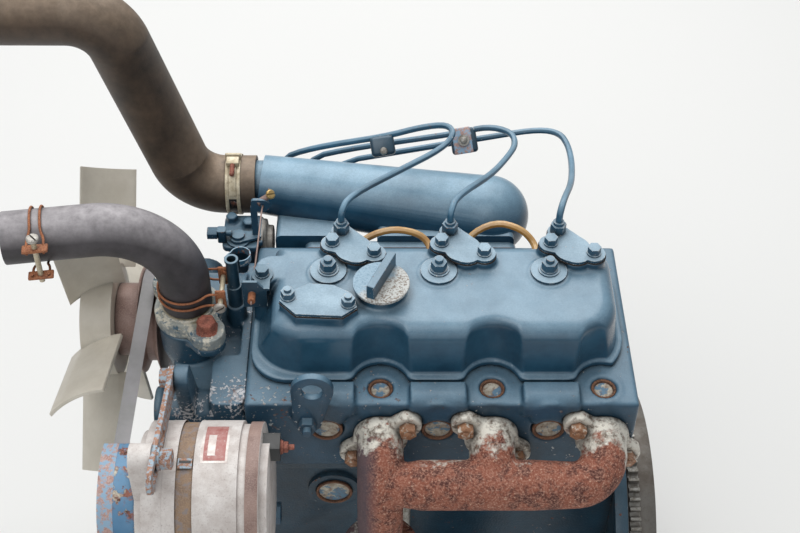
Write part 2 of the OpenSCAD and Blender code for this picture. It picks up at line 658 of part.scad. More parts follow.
// water pump with the thermostat's seat, the bypass to the head and the lower inlet
stat_x = case_x-14;
stat_y = -15;
stat_z = head_z+16;
stat_bolt = [19, -28];
pump_face = front_x-8;
pump_front = belt_x+16;
pump_bore_r = 8;
vent_x = front_x-13;
inlet = [belt_x+38, 264];
inlet_r = hose_bore/2;
strap_x = belt_x+38;
stay = [-98, 345];
module water_pump() color(blue) difference() {
  union() {
    bar_x(pump_front, pump_face+1, 42, fan_y, fan_z);
    bar_x(belt_x+14.3, pump_front+1, 24, fan_y, fan_z);
    along_x(pump_face, front_x) pane(-96, 72, 236, 312, 10);
    bar_z(302, stat_z, 26, stat_x, stat_y-4);
    translate([stat_x, stat_y-4, 268]) cylinder(h = 34, r1 = 17, r2 = 26);
    along_z(stat_z-8, stat_z) translate([stat_x, stat_y]) {
      strap([0, 0], stat_bolt, 20, 15);
      circle(r = 25.5);
    }
    bar_x(case_x-34, front_x, 17, -84, 286);
    bar_x(case_x-39, case_x-33, 20, -84, 286);
    along_z(262, 312) pane(front_x-30, front_x, -100, -44, 8);
    along_z(272, 298) pane(case_x-28, front_x, -78, 0, 8);
    bar_z(300, 330, 9, vent_x, 0);
    along_x(strap_x, strap_x+12) strap(stay, [-84, 292], 11, 15);
    bar_y(fan_y+28, 73, 21, inlet[0], inlet[1]);
    bar_y(72, 104, inlet_r, inlet[0], inlet[1]);
  }
  bar_x(belt_x-6, belt_x+34, pump_bore_r+gap, fan_y, fan_z);
}
// open vent pipe behind the thermostat
vent_top = 384;
module vent_pipe() color(dark) difference() {
  union() {
    bar_z(330, vent_top, 5.2, vent_x, 0);
    bar_z(330, 352, 6.5, vent_x, 0);
    bar_z(vent_top-2, vent_top, 6, vent_x, 0);
  }
  bar_z(352, vent_top+1, 3.8, vent_x, 0);
}
module thermostat_cover() color(alloy) {
  along_z(stat_z, stat_z+12) translate([stat_x, stat_y]) {
    strap(-stat_bolt, stat_bolt, 15, 15);
    circle(r = 29);
  }
  bar_z(stat_z+11, stat_z+16, 24, stat_x, stat_y);
  bar_z(stat_z+15, stat_z+44, hose_bore/2-gap, stat_x, stat_y);
  for (k = [-1, 1]) bolt_z(stat_z+12, stat_x+k*stat_bolt[0], stat_y+k*stat_bolt[1], 15);
}
// coolant hose: up from the thermostat, a quarter bend and a straight end
hose_turn = 188;
hose_rise = 42;
hose_run = 136;
module hose_core(r, e) {
  bar_z(stat_z+17-e, stat_z+hose_rise, r);
  bend_xz([hose_br, stat_z+hose_rise], hose_br, r, 90, 90);
  bar_x(hose_br, hose_run+e, r, 0, stat_z+hose_rise+hose_br);
}
module top_hose() color(rubber) translate([stat_x, stat_y, 0]) rotate([0, 0, hose_turn]) difference() {
  hose_core(hose_d/2, 0);
  hose_core(hose_bore/2, 1);
}
// screw clamps, each of two wires, two small brackets and a screw
wire_r = 1.3;
module wire_clamp(z) {
  out = hose_d/2+gap;
  for (k = [-1, 1]) translate([0, 0, z+3.4*k]) rotate_extrude() translate([out+wire_r, 0]) circle(r = wire_r);
  translate([out, -5, z-7]) cube([10, 10, 3]);
  translate([out, -5, z+4]) cube([10, 10, 3]);
  bar_z(z-14, z+14, 2.6, out+6.7, 0);
  bar_z(z-17, z-14, 6, out+6.7, 0);
}
module hose_clamps() color(rust) translate([stat_x, stat_y, 0]) rotate([0, 0, hose_turn]) {
  rotate([0, 0, 185]) wire_clamp(stat_z+33);
  translate([hose_run-28, 0, stat_z+hose_rise+hose_br]) rotate([0, 90, 0]) rotate([0, 0, 50]) wire_clamp(0);
}
// flat band with a long screw on the air hose cuff
module air_band() color(alloy) translate([front_x-25, tube_at[0], tube_at[1]]) {
  out = air_d/2+gap;
  difference() {
    bar_x(-7, 7, out+1.6);
    bar_x(-8, 8, out);
  }
  rotate([38, 0, 0]) {
    translate([-6, -6, out+1]) cube([12, 12, 8]);
    bar_y(-20, 12, 2.8, 0, out+5.7);
    bar_y(12, 17, 6, 0, out+5.7);
  }
}

// belt: one straight-sided V section, run tangent to the three pulleys
half_w = belt_w/2;
belt_out = 0.45*belt_t;
belt_in = 0.55*belt_t;
flank = 0.33*belt_t;
pulley_half = half_w+3;
crank_at = [0, 0];
fan_at = [fan_y, fan_z];
alt_at = [-alt_y, alt_z];
module vee(r, i = 0) polygon([[r+belt_out-i, -half_w+i], [r+belt_out-i, half_w-i],
  [r-belt_in+i, half_w-flank-i], [r-belt_in+i, -half_w+flank+i]]);
module pulley_rim(r, lip, clear) rotate([0, 90, 0]) rotate_extrude() difference() {
  translate([0, -pulley_half]) square([r+lip, 2*pulley_half]);
  polygon([[r+belt_t, -half_w-gap-2.8], [r+belt_t, half_w+gap+2.8],
    [r-belt_in-clear, half_w-flank+gap], [r-belt_in-clear, -half_w+flank-gap]]);
}
function out_dir(p, q, r1, r2) = atan2(q[1]-p[1], q[0]-p[0])-90+asin((r1-r2)/norm(q-p));
module belt_run(p, q, r1, r2) {
  a = out_dir(p, q, r1, r2);
  n = [cos(a), sin(a)];
  start = p+r1*n;
  run = sqrt(pow(norm(q-p), 2)-pow(r1-r2, 2));
  over = 1.5;
  multmatrix([[0, 1, 0, belt_x], [n[0], 0, -n[1], start[0]], [n[1], 0, n[0], start[1]], [0, 0, 0, 1]])
    translate([0, 0, -over]) linear_extrude(height = run+2*over) vee(0, lap);
}
module belt_bend(p, r, a0, a1) multmatrix([[0, 0, 1, belt_x], [cos(a0), -sin(a0), 0, p[0]],
  [sin(a0), cos(a0), 0, p[1]], [0, 0, 0, 1]]) rotate_extrude(angle = (a1-a0+720)%360) vee(r);
module fan_belt() color(rubber) {
  at = [crank_at, fan_at, alt_at];
  r = [crank_r, fan_r, alt_r];
  turn = [for (i = [0:2]) out_dir(at[i], at[(i+1)%3], r[i], r[(i+1)%3])];
  for (i = [0:2]) belt_run(at[i], at[(i+1)%3], r[i], r[(i+1)%3]);
  for (i = [0:2]) belt_bend(at[i], r[i], turn[(i+2)%3], turn[i]);
}
// crankshaft: nose, main bar and rear flange, with its pulley, flywheel and ring gear
nose_r = 14;
wheel_x = 6;
hub_hole_r = 5.5;
hub_pcd = 60;
seat_r = 92;
module crank_pulley() color(iron) difference() {
  union() {
    translate([belt_x, 0, 0]) pulley_rim(crank_r, 5, gap);
    bar_x(belt_x-14, case_x-15, 27);
  }
  bar_x(belt_x-20, case_x, nose_r+gap);
}
module crankshaft() color(steel) {
  bar_x(belt_x-14, case_x+3, nose_r);
  bar_x(case_x+2, rear_x+root, bearing_r-gap);
  bar_x(rear_x+1, wheel_x, 45);
  hex_x(belt_x-26, belt_x-14, 30);
}
module flywheel() color(iron) difference() {
  bar_x(wheel_x, wheel_x+wheel_t, gear_r-9);
  bar_x(wheel_x-1, wheel_x+wheel_t+1, 12);
  bar_x(wheel_x+wheel_t-6, wheel_x+wheel_t+1, seat_r);
  for (i = [0:5]) rotate([60*i, 0, 0]) bar_x(wheel_x+8, wheel_x+wheel_t+1, 4, clutch_pcd/2);
  for (i = [0:5]) rotate([60*i+30, 0, 0]) bar_x(wheel_x-1, wheel_x+wheel_t-5, hub_hole_r, hub_pcd/2);
}
module ring_gear() color(steel) along_x(wheel_x+2, wheel_x+12) difference() {
  union() {
    circle(r = gear_r-5);
    for (i = [0:teeth-1]) rotate(360*i/teeth)
      polygon([[gear_r-6, -2.9], [gear_r, -1.3], [gear_r, 1.3], [gear_r-6, 2.9]]);
  }
  circle(r = gear_r-9+gap);
}

// fan: a drum hub open to the front with curved blades, on a spacer ahead of the pulley
hub_x = belt_x-31;
hub_r = 51;
hub_depth = 27;
hub_wall = 5;
shaft_r = 11;
blade_turn = 28;
blade_curve = 70;
blade_half = 26;
blade_t = 3;
module blade() along_z(hub_r-3, tip_r-8) translate([0, -blade_curve]) difference() {
  circle(r = blade_curve+blade_t/2);
  circle(r = blade_curve-blade_t/2);
  translate([blade_half, -2*blade_curve]) square([2*blade_curve, 4*blade_curve]);
  translate([-blade_half-2*blade_curve, -2*blade_curve]) square([2*blade_curve, 4*blade_curve]);
  translate([-blade_half-1, -2*blade_curve]) square([2*blade_half+2, 2*blade_curve]);
}
module fan() color(cream) {
  difference() {
    bar_x(hub_x-hub_depth, hub_x, hub_r, fan_y, fan_z);
    bar_x(hub_x-hub_depth-1, hub_x-hub_wall, hub_r-hub_wall, fan_y, fan_z);
    bar_x(hub_x-hub_wall-1, hub_x+1, 14, fan_y, fan_z);
  }
  for (i = [0:blades-1]) translate([hub_x-hub_depth/2, fan_y, fan_z])
    rotate([360*i/blades+12, 0, 0]) rotate([0, 0, blade_turn]) translate([0, 4, 0]) blade();
}
module fan_spacer() color(rust) {
  difference() {
    bar_x(hub_x, belt_x-pulley_half, 33, fan_y, fan_z);
    bar_x(hub_x-1, belt_x-pulley_half+1, shaft_r+gap, fan_y, fan_z);
  }
  for (i = [0:3]) translate([0, fan_y, fan_z]) rotate([90*i, 0, 0])
    hex_x(hub_x-hub_wall-6, hub_x-hub_wall, 10, 24);
}
module fan_pulley() color(rust) {
  translate([belt_x, fan_y, fan_z]) pulley_rim(fan_r, 5.5, gap);
  bar_x(hub_x-hub_wall, belt_x-pulley_half+1, shaft_r, fan_y, fan_z);
  bar_x(belt_x+pulley_half-1, belt_x+14, pump_bore_r, fan_y, fan_z);
}

// alternator: front housing with two ears, lamination ring, rear housing and pulley
alt_front = belt_x+17;
alt_ring = belt_x+39;
alt_rear = belt_x+62;
alt_back = belt_x+106;
ear = [-alt_y-20, alt_z+79];
foot = [-alt_y+34, alt_z-72];
foot_r = 6;
ear_hole_r = 4.3;
module alternator() color(alloy) difference() {
  union() {
    bar_x(alt_front+6, alt_ring, alt_body, -alt_y, alt_z);
    bar_x(alt_front, alt_front+7, alt_body-8, -alt_y, alt_z);
    along_x(alt_front, alt_front+17) strap(alt_at, ear, 34, 12);
    along_x(alt_front, alt_front+15) strap(alt_at, foot, 34, 14);
  }
  bar_x(alt_front-1, alt_front+20, 9+gap, -alt_y, alt_z);
  bar_x(alt_front-3, alt_front+27, foot_r+gap, foot[0], foot[1]);
  bar_x(alt_front-3, alt_front+27, ear_hole_r, ear[0], ear[1]);
}
module alternator_stator() color(rust) bar_x(alt_ring, alt_rear, alt_body-1.5, -alt_y, alt_z);
module alternator_rear() color(alloy) difference() {
  union() {
    bar_x(alt_rear, alt_back-10, alt_body, -alt_y, alt_z);
    bar_x(alt_back-11, alt_back-3, alt_body-3, -alt_y, alt_z);
    bar_x(alt_back-4, alt_back+6, alt_body-1, -alt_y, alt_z);
    bar_x(alt_back+5, alt_back+12, alt_body-12, -alt_y, alt_z);
    along_x(alt_back-14, alt_back) strap(alt_at, foot, 34, 14);
    translate([alt_back+5, -alt_y+14, alt_z+30]) cube([15, 16, 16]);
  }
  bar_x(alt_back-22, alt_back+8, foot_r+gap, foot[0], foot[1]);
}
module alternator_pulley() color(iron) {
  translate([belt_x, -alt_y, alt_z]) pulley_rim(alt_r, 5, gap);
  bar_x(belt_x-20, belt_x-pulley_half+1, 11, -alt_y, alt_z);
  bar_x(belt_x+pulley_half-1, alt_front+15, 9, -alt_y, alt_z);
}
// bent guard over the near side of the alternator pulley
guard_r = 51.5;
guard_t = 2.5;
module guard_sector(r_in) difference() {
  circle(r = guard_r);
  circle(r = r_in);
  translate([18, -60]) square([60, 120]);
  translate([-60, -60]) square([120, 46]);
}
module belt_guard() color(rust) translate([0, -alt_y, alt_z]) {
  along_x(belt_x-12, alt_front) guard_sector(guard_r-guard_t);
  along_x(alt_front-2, alt_front) guard_sector(30);
}
module alternator_bracket() color(blue) {
  bar_x(alt_front-4, alt_back+7, foot_r, foot[0], foot[1]);
  hex_x(alt_front-11, alt_front-3, 17, foot[0], foot[1]);
  hex_x(alt_back+6, alt_back+14, 17, foot[0], foot[1]);
  along_x(alt_front+16, alt_back-15) difference() {
    strap(foot, [-block_half-4, 190], 14, 24);
    translate([-block_half-4, 100]) square([80, 140]);
  }
}
// slotted strap from the alternator's upper ear to the water pump
module adjusting_strap() color(rust) {
  along_x(strap_x-4, strap_x) difference() {
    strap([ear[0]-24, ear[1]+5], stay, 10, 10);
    strap([ear[0]-20, ear[1]+3.2], [ear[0]+30, ear[1]-9], ear_hole_r, ear_hole_r);
  }
  bar_x(alt_front+5, strap_x, 4, ear[0], ear[1]);
  bar_x(strap_x, strap_x+2, 9, ear[0], ear[1]);
  hex_x(strap_x+2, strap_x+11, 14, ear[0], ear[1]);
  hex_x(strap_x-12, strap_x-4, 14, stay[0], stay[1]);
}

// teardrop lifting eye and its bolt
eye_hole = [front_x+58, head_z+28];
eye_hole_r = 9;
module lifting_eye() color(blue) difference() {
  union() {
    along_y(-head_near-10, -head_near-4) strap(eye_hole, eye_foot, 17.5, 12);
    hex_y(-head_near-17, -head_near-10, 14, eye_foot[0], eye_foot[1]);
    bar_y(-head_near-22, -head_near-17, 4, eye_foot[0], eye_foot[1]);
  }
  bar_y(-head_near-14, -head_near+1, eye_hole_r, eye_hole[0], eye_hole[1]);
}
module starter_motor() color(dark) {
  bar_x(-186, rear_x, starter_r, start_y, start_z);
  bar_x(rear_x-1, 2, 30, start_y, start_z);
  bar_x(-150, -40, 24, start_y+20, start_z+62);
  along_x(-60, -44) strap([start_y, start_z], [start_y+20, start_z+62], starter_r-2, 22);
}
module oil_filter() color(dark) {
  bar_y(-block_half-112, -block_half-29, 38, filter_at[0], filter_at[1]);
  bar_y(-block_half-30, -block_half-filter_out, 34, filter_at[0], filter_at[1]);
}
// dipstick tube with a ring grip
dip_x = cyl[1]-28;
dip_y = -block_half-20;
module dipstick() color(steel) {
  bar_y(dip_y-6, -skirt, 7, dip_x, 30);
  bar_z(30, 205, 4, dip_x, dip_y);
  translate([dip_x, dip_y, 213]) rotate([90, 0, 0]) rotate_extrude() translate([9, 0]) circle(r = 1.6);
}
// governor housing over the pump drive, with its cover plate and two bolts
gov_top = 314;
gov_plate = 6;
module governor_housing() color(blue) {
  along_z(gov_z, gov_z+8) pane(front_x-36, front_x, 84, 132, 5);
  along_z(gov_z, gov_top) pane(front_x-29, front_x, 90, 122, 6);
  bar_x(front_x-4, front_x+6, 21, 110, 298);
  bar_x(front_x+5, front_x+12, 15, 110, 298);
  along_z(gov_top, gov_top+gov_plate) difference() {
    pane(front_x-33, front_x+4, 78, 122, 6);
    translate([front_x-gap, 70]) square([20, head_far+gap-70]);
  }
  bolt_z(gov_top+gov_plate, front_x-26, 114, bolt_af);
  bolt_z(gov_top+gov_plate, front_x-10, 107, bolt_af);
}
// stop lever on the governor's cover, and the stop screw on its own small post
lever_x = front_x-18;
module stop_linkage() color(blue) {
  z = gov_top+gov_plate;
  bar_z(z, z+2, 11, lever_x, 88);
  bar_z(z+1, z+8, 6, lever_x, 88);
  along_z(z+2, z+5) strap([lever_x, 88], [front_x-1, 90], 8, 4);
  along_y(90, 93) difference() {
    union() {
      pane(front_x-5, front_x+1, z+2, z+40, 2);
      pane(front_x-4, front_x+7, z+34, z+48, 3);
      translate([front_x+6, z+41]) circle(r = 7);
    }
    translate([front_x+6, z+41]) circle(r = 1.8);
  }
  along_z(z, z+14) pane(front_x-37, front_x-29, 84, 92, 2);
  bar_x(front_x-44, front_x-24, 2.8, 88, z+9);
  hex_x(front_x-46, front_x-37, 10, 88, z+9);
}
// angle bracket for the stop control: a tab under a bolt and a chamfered plate with its sleeve
bracket_x = front_x-3;
bracket_y = -23;
bracket_t = 2.5;
module cable_bracket() color(blue) {
  along_z(tab_z, tab_z+bracket_t) {
    translate([bracket_x+10, bracket_y]) square([13, 18]);
    translate(bracket_bolt) circle(r = 9);
  }
  along_y(bracket_y, bracket_y+bracket_t) difference() {
    pane(bracket_x, bracket_x+20.5, tab_z-20, tab_z+10, 1.5);
    polygon([[bracket_x+12, tab_z+11], [bracket_x+24, tab_z+11], [bracket_x+24, tab_z-6]]);
  }
  bar_y(bracket_y-9, bracket_y+1, 3.2, bracket_x+8, tab_z-4);
  bolt_z(tab_z+bracket_t, bracket_bolt[0], bracket_bolt[1], bolt_af);
}
// two short return hoses behind the cover plates
hose_y = loaf_far+1.2;
return_path = [
  [[cyl[0]+21, hose_y, 345], [cyl[0]+22, 58, 347], [cyl[0]+48, 63, 359],
    [cyl[1]-20, 61, 357], [cyl[1]-8, 57, 347], [cyl[1]-7, hose_y, 345]],
  [[cyl[1]+25, hose_y, 347], [cyl[1]+26, 62, 350], [cyl[1]+50, 68, 363],
    [cyl[2]-21, 62, 361], [cyl[2]-8, 56, 349], [cyl[2]-7, hose_y, 347]]];
module return_hoses() color(amber) for (p = return_path) sweep(soften(soften(p)), return_d/2);

cylinder_block();
oil_pan();
timing_case();
rear_plate();
cylinder_head();
core_plugs();
rocker_cover();
front_lid();
injector_lids();
line_nuts();
cover_nuts();
filler_cap();
injection_lines();
injection_pump();
intake_gasket();
intake_manifold();
air_hose();
exhaust_manifold();
water_pump();
thermostat_cover();
top_hose();
fan_belt();
crank_pulley();
crankshaft();
flywheel();
ring_gear();
fan();
fan_spacer();
fan_pulley();
alternator();
alternator_stator();
alternator_rear();
alternator_pulley();
alternator_bracket();
adjusting_strap();
belt_guard();
lifting_eye();
starter_motor();
oil_filter();
dipstick();
governor_housing();
stop_linkage();
cable_bracket();
hose_clamps();
air_band();
return_hoses();
manifold_nuts();
vent_pipe();
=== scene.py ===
import json
import math
import bpy
from mathutils import Matrix, Vector


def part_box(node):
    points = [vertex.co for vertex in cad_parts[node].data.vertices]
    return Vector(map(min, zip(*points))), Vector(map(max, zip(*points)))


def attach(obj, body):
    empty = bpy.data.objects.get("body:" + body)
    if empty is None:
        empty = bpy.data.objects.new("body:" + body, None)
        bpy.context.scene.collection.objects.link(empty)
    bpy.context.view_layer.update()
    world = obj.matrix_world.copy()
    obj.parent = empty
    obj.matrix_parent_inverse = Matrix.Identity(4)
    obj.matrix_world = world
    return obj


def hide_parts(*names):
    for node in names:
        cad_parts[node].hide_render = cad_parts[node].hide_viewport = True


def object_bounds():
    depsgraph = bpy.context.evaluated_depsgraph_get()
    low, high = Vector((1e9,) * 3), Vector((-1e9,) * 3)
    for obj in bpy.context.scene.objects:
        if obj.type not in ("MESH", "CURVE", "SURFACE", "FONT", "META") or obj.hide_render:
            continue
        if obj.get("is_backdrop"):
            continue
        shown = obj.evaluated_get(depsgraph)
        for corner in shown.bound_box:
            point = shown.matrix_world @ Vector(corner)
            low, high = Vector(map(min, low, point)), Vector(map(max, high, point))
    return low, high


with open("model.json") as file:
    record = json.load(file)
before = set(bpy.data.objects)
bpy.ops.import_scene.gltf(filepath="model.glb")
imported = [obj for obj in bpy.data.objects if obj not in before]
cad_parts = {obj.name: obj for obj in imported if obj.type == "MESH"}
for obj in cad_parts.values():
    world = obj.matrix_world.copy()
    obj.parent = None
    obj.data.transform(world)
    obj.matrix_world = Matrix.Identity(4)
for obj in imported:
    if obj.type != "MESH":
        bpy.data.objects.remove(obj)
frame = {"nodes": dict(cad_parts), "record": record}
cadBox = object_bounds()
nodes = frame["nodes"]
print("frame loaded with", len(nodes), "nodes")

# Photo camera: a long lens on the exhaust side, looking down at 45 degrees
cameraView = {
    "target": (-0.212, 0.0, 0.375),
    "distance": 1.150,
    "down": 45.5,
    "aside": -1.0,
    "roll": 0.79,
    "lens": 60.75,
}


def newObject(name, data):
    thing = bpy.data.objects.new(name, data)
    bpy.context.scene.collection.objects.link(thing)
    return thing


def makeCamera(view):
    down, aside, roll = (math.radians(view[key]) for key in ("down", "aside", "roll"))
    ahead = Vector((
        -math.sin(aside) * math.cos(down),
        math.cos(aside) * math.cos(down),
        -math.sin(down),
    ))
    level = Vector((math.cos(aside), math.sin(aside), 0))
    upright = level.cross(ahead)
    right = math.cos(roll) * level + math.sin(roll) * upright
    up = right.cross(ahead)
    lens = bpy.data.cameras.new("photoCamera")
    lens.lens = view["lens"]
    lens.sensor_width = 36
    lens.clip_start = 0.01
    lens.clip_end = 50
    camera = newObject("photoCamera", lens)
    turn = Matrix((right, up, -ahead)).transposed().to_4x4()
    place = Vector(view["target"]) - view["distance"] * ahead
    camera.matrix_world = Matrix.Translation(place) @ turn
    bpy.context.scene.camera = camera


makeCamera(cameraView)
print("camera placed")


def addNode(tree, kind, inputs=None, **settings):
    node = tree.nodes.new(kind)
    for key, value in settings.items():
        setattr(node, key, value)
    for key, value in (inputs or {}).items():
        if isinstance(value, bpy.types.NodeSocket):
            tree.links.new(value, node.inputs[key])
        else:
            node.inputs[key].default_value = value
    return node


def colour(code):
    # sRGB hex to linear channels
    channels = [int(code[i:i + 2], 16) / 255 for i in (1, 3, 5)]
    return [c / 12.92 if c <= 0.04045 else ((c + 0.055) / 1.055) ** 2.4 for c in channels] + [1.0]


def startMaterial(name):
    material = bpy.data.materials.new(name)
    material.use_nodes = True
    tree = material.node_tree
    tree.nodes.clear()
    place = addNode(tree, "ShaderNodeTexCoord").outputs["Object"]
    return material, tree, place


def closeMaterial(material, finish, roughness, height, depth, strength, **more):
    # the shader of a finish, with its relief depth metres deep
    tree = material.node_tree
    relief = addNode(tree, "ShaderNodeBump", {"Height": height, "Distance": depth, "Strength": strength})
    shader = addNode(tree, "ShaderNodeBsdfPrincipled", {
        "Base Color": finish, "Roughness": roughness, "Normal": relief.outputs["Normal"], **more})
    addNode(tree, "ShaderNodeOutputMaterial", {"Surface": shader.outputs["BSDF"]})
    return material


def combined(tree, operation, *values):
    return addNode(tree, "ShaderNodeMath", dict(enumerate(values)), operation=operation).outputs["Value"]


def between(tree, value, low, high, top=1.0, bottom=0.0):
    # bottom where the value is at low, top where it is at high, and no further
    return addNode(tree, "ShaderNodeMapRange", {
        "Value": value, "From Min": low, "From Max": high, "To Min": bottom, "To Max": top}).outputs["Result"]


def noise(tree, place, size, detail, roughness=0.5):
    # noise in cells about size millimetres across, on coordinates in metres
    return addNode(tree, "ShaderNodeTexNoise", {
        "Vector": place, "Scale": 1000.0 / size, "Detail": detail, "Roughness": roughness}).outputs["Fac"]


def blotches(tree, place, size, low, high, top=1.0, bottom=0.0):
    # blotches about size millimetres across, bottom where the noise is under low and top over high
    return between(tree, noise(tree, place, size, 7.0, 0.66), low, high, top, bottom)


def shelter(tree, reach, free, shut, top, inside=False):
    # 0 on open surfaces up to top in corners, or on the edges when it looks inside the metal
    hidden = addNode(tree, "ShaderNodeAmbientOcclusion", {"Distance": reach}, samples=6, inside=inside)
    return between(tree, hidden.outputs["AO"], free, shut, top)


def around(tree, place, x, y, z, reach, amount):
    # amount at a point in millimetres, falling to nothing at reach
    point = [value / 1000 for value in (x, y, z)]
    away = addNode(tree, "ShaderNodeVectorMath", {0: place, 1: point}, operation="DISTANCE")
    return between(tree, away.outputs["Value"], reach / 1000, 0.0, amount)


def facing(tree, axis, low, high, top=1.0):
    # how far the surface looks along one axis
    normal = addNode(tree, "ShaderNodeNewGeometry").outputs["Normal"]
    parts = addNode(tree, "ShaderNodeSeparateXYZ", {"Vector": normal})
    return between(tree, parts.outputs[axis], low, high, top)


def layered(tree, base, *coats):
    # coats of (amount, colour) laid one over another on a base colour
    surface = base
    for amount, coat in coats:
        under, over = (colour(c) if isinstance(c, str) else c for c in (surface, coat))
        surface = addNode(tree, "ShaderNodeMix", {
            "Factor": amount, "A": under, "B": over}, data_type="RGBA").outputs["Result"]
    return surface


# In the looks below a pattern is its size in millimetres, the noise that it runs from and to, and
# its top and bottom where these aren't 1 and 0. A corner is how far it looks round in metres, and
# the shares of open space at which it begins and is full.

# Satin enamel brushed over cast iron and steel years ago. It gives a soft broad sheen, chalky
# dust with a painted top light on what looks up, black grime with painted shade in corners, and chips down to
# pale primer or to rust.
enamelLook = {
    "paint": "#315a72",
    "paintDeep": "#234459",
    "tint": (55, 0.35, 0.65),
    "dust": "#9dbacb",
    "dustAmount": 0.6,
    "dustLies": (0.3, 0.97),
    "powder": (1.4, 0.3, 0.7, 1.0, 0.72),
    "patch": (30, 0.3, 0.66, 1.0, 0.6),
    "grime": "#14130f",
    "grimeAmount": 0.85,
    "corner": (0.012, 0.85, 0.25),
    "smear": (9, 0.3, 0.6, 1.0, 0.55),
    "chip": "#c3c8c8",
    "chipSize": 7.0,
    "chipLevel": 0.68,
    "chipRim": 0.012,
    "haloWide": 0.02,
    "haloAmount": 0.55,
    "edgeOpen": (0.9, 0.45),
    "edgeReach": 0.0016,
    "edgeWear": 0.13,
    "zone": (48, 0.47, 0.6),
    "zoneWear": 0.05,
    "sores": (),
    "rust": "#7a4a36",
    "rustDeep": "#3d2720",
    "rustFrom": 0.46,
    "rustLevel": 0.66,
    "rustSize": 20.0,
    "speckle": (3, 0.35, 0.65),
    "roughness": 0.34,
    "dustRoughens": 0.12,
    "chipRoughens": 0.35,
    "grain": 0.9,
    "grainDepth": 0.00012,
}


def enamel(name, **changes):
    look = dict(enamelLook, **changes)
    material, tree, place = startMaterial(name)
    # faces that look up are lightened with pale dust in patches: dust and a painted top light
    lying = facing(tree, "Z", *look["dustLies"], look["dustAmount"])
    dustAndTopLightMask = combined(tree, "MULTIPLY", lying, blotches(tree, place, *look["patch"]))
    chalkyDustAndTopLight = combined(tree, "MULTIPLY", dustAndTopLightMask, blotches(tree, place, *look["powder"]))
    # corners are darkened with near-black grime in smears: grime and painted shade
    hollow = shelter(tree, *look["corner"], look["grimeAmount"])
    grimeAndShadeMask = combined(tree, "MULTIPLY", hollow, blotches(tree, place, *look["smear"]))
    # paint goes first on edges and in worn zones, in chips a few millimetres across
    edge = shelter(tree, look["edgeReach"], *look["edgeOpen"], look["edgeWear"], inside=True)
    worn = combined(tree, "ADD", edge, blotches(tree, place, *look["zone"], look["zoneWear"]))
    lost = combined(tree, "ADD", noise(tree, place, look["chipSize"], 8.0, 0.64), worn)
    for spot in look["sores"]:
        lost = combined(tree, "ADD", lost, around(tree, place, *spot))
    level = look["chipLevel"]
    chipped = between(tree, lost, level, level + look["chipRim"])
    halo = between(tree, lost, level - look["haloWide"], level, look["haloAmount"])
    # rust in speckles under the chips, and creeping out through the paint here and there
    speckle = blotches(tree, place, *look["speckle"])
    rustTone = layered(tree, look["rustDeep"], (speckle, look["rust"]))
    rusted = blotches(tree, place, look["rustSize"], look["rustFrom"], look["rustFrom"] + 0.1)
    crept = blotches(tree, place, look["rustSize"] * 0.8, look["rustLevel"], look["rustLevel"] + 0.06)
    finish = layered(
        tree, look["paintDeep"],
        (blotches(tree, place, *look["tint"]), look["paint"]),
        (chalkyDustAndTopLight, look["dust"]),
        (grimeAndShadeMask, look["grime"]),
        (halo, rustTone),
        (chipped, layered(tree, look["chip"], (rusted, rustTone))),
        (combined(tree, "MULTIPLY", crept, speckle), rustTone))
    dull = between(tree, dustAndTopLightMask, 0.0, 0.7, look["roughness"] + look["dustRoughens"], look["roughness"])
    matt = combined(tree, "MULTIPLY_ADD", chipped, look["chipRoughens"], dull)
    height = combined(tree, "MULTIPLY_ADD", chipped, -0.9, noise(tree, place, look["grain"], 3.0))
    return closeMaterial(material, finish, matt, height, look["grainDepth"], 0.8)


# Grey iron or mild steel left to rust: browns in patches, a gritty crust and no gloss.
rustLook = {
    "dark": "#3e2a22",
    "mid": "#74503d",
    "light": "#a07353",
    "pale": "#b3ab9f",
    "paleLevel": 0.95,
    "soot": "#1d1612",
    "corner": (0.008, 0.8, 0.25),
    "patch": 9.0,
    "pit": 1.2,
    "depth": 0.0003,
    "roughness": 0.82,
}


def rustyIron(name, **changes):
    look = dict(rustLook, **changes)
    material, tree, place = startMaterial(name)
    pits = noise(tree, place, look["pit"], 5.0, 0.7)
    patch, level = look["patch"], look["paleLevel"]
    finish = layered(
        tree, look["dark"],
        (blotches(tree, place, patch, 0.34, 0.6), look["mid"]),
        (between(tree, pits, 0.46, 0.68, 0.85), look["light"]),
        (blotches(tree, place, patch * 0.5, level - 0.12, level - 0.04), look["pale"]),
        # darker in corners: painted shade
        (shelter(tree, *look["corner"], 0.7), look["soot"]))
    return closeMaterial(material, finish, look["roughness"], pits, look["depth"], 0.9)


# Grey iron casting that has run hot: fine red scale on the log, and near its flanges the bare
# silver-white skin that heat leaves. The front neck is scorched purple-grey on its cool side.
scorchLook = {
    "dark": "#56302a",
    "mid": "#8f5441",
    "light": "#bf8e79",
    "fleck": "#efdcc0",
    "silver": "#e2ded2",
    "silverDark": "#6d6154",
    "cool": "#574b51",
    "soot": "#1c1512",
    "scale": (10, 0.42, 0.54),
    "sheen": (7, 0.36, 0.52),
    "stain": (4, 0.60, 0.68),
    "ragged": (22, 0.3, 0.7, 0.75, -0.35),
    "corner": (0.008, 0.8, 0.25),
    "flange": (-0.158, -0.112),
    "coolSide": (-0.229, -0.241),
    "grit": 1.7,
    "depth": 0.0007,
    "roughness": 0.86,
    "silverRoughness": 0.5,
    "metallic": 0.35,
}


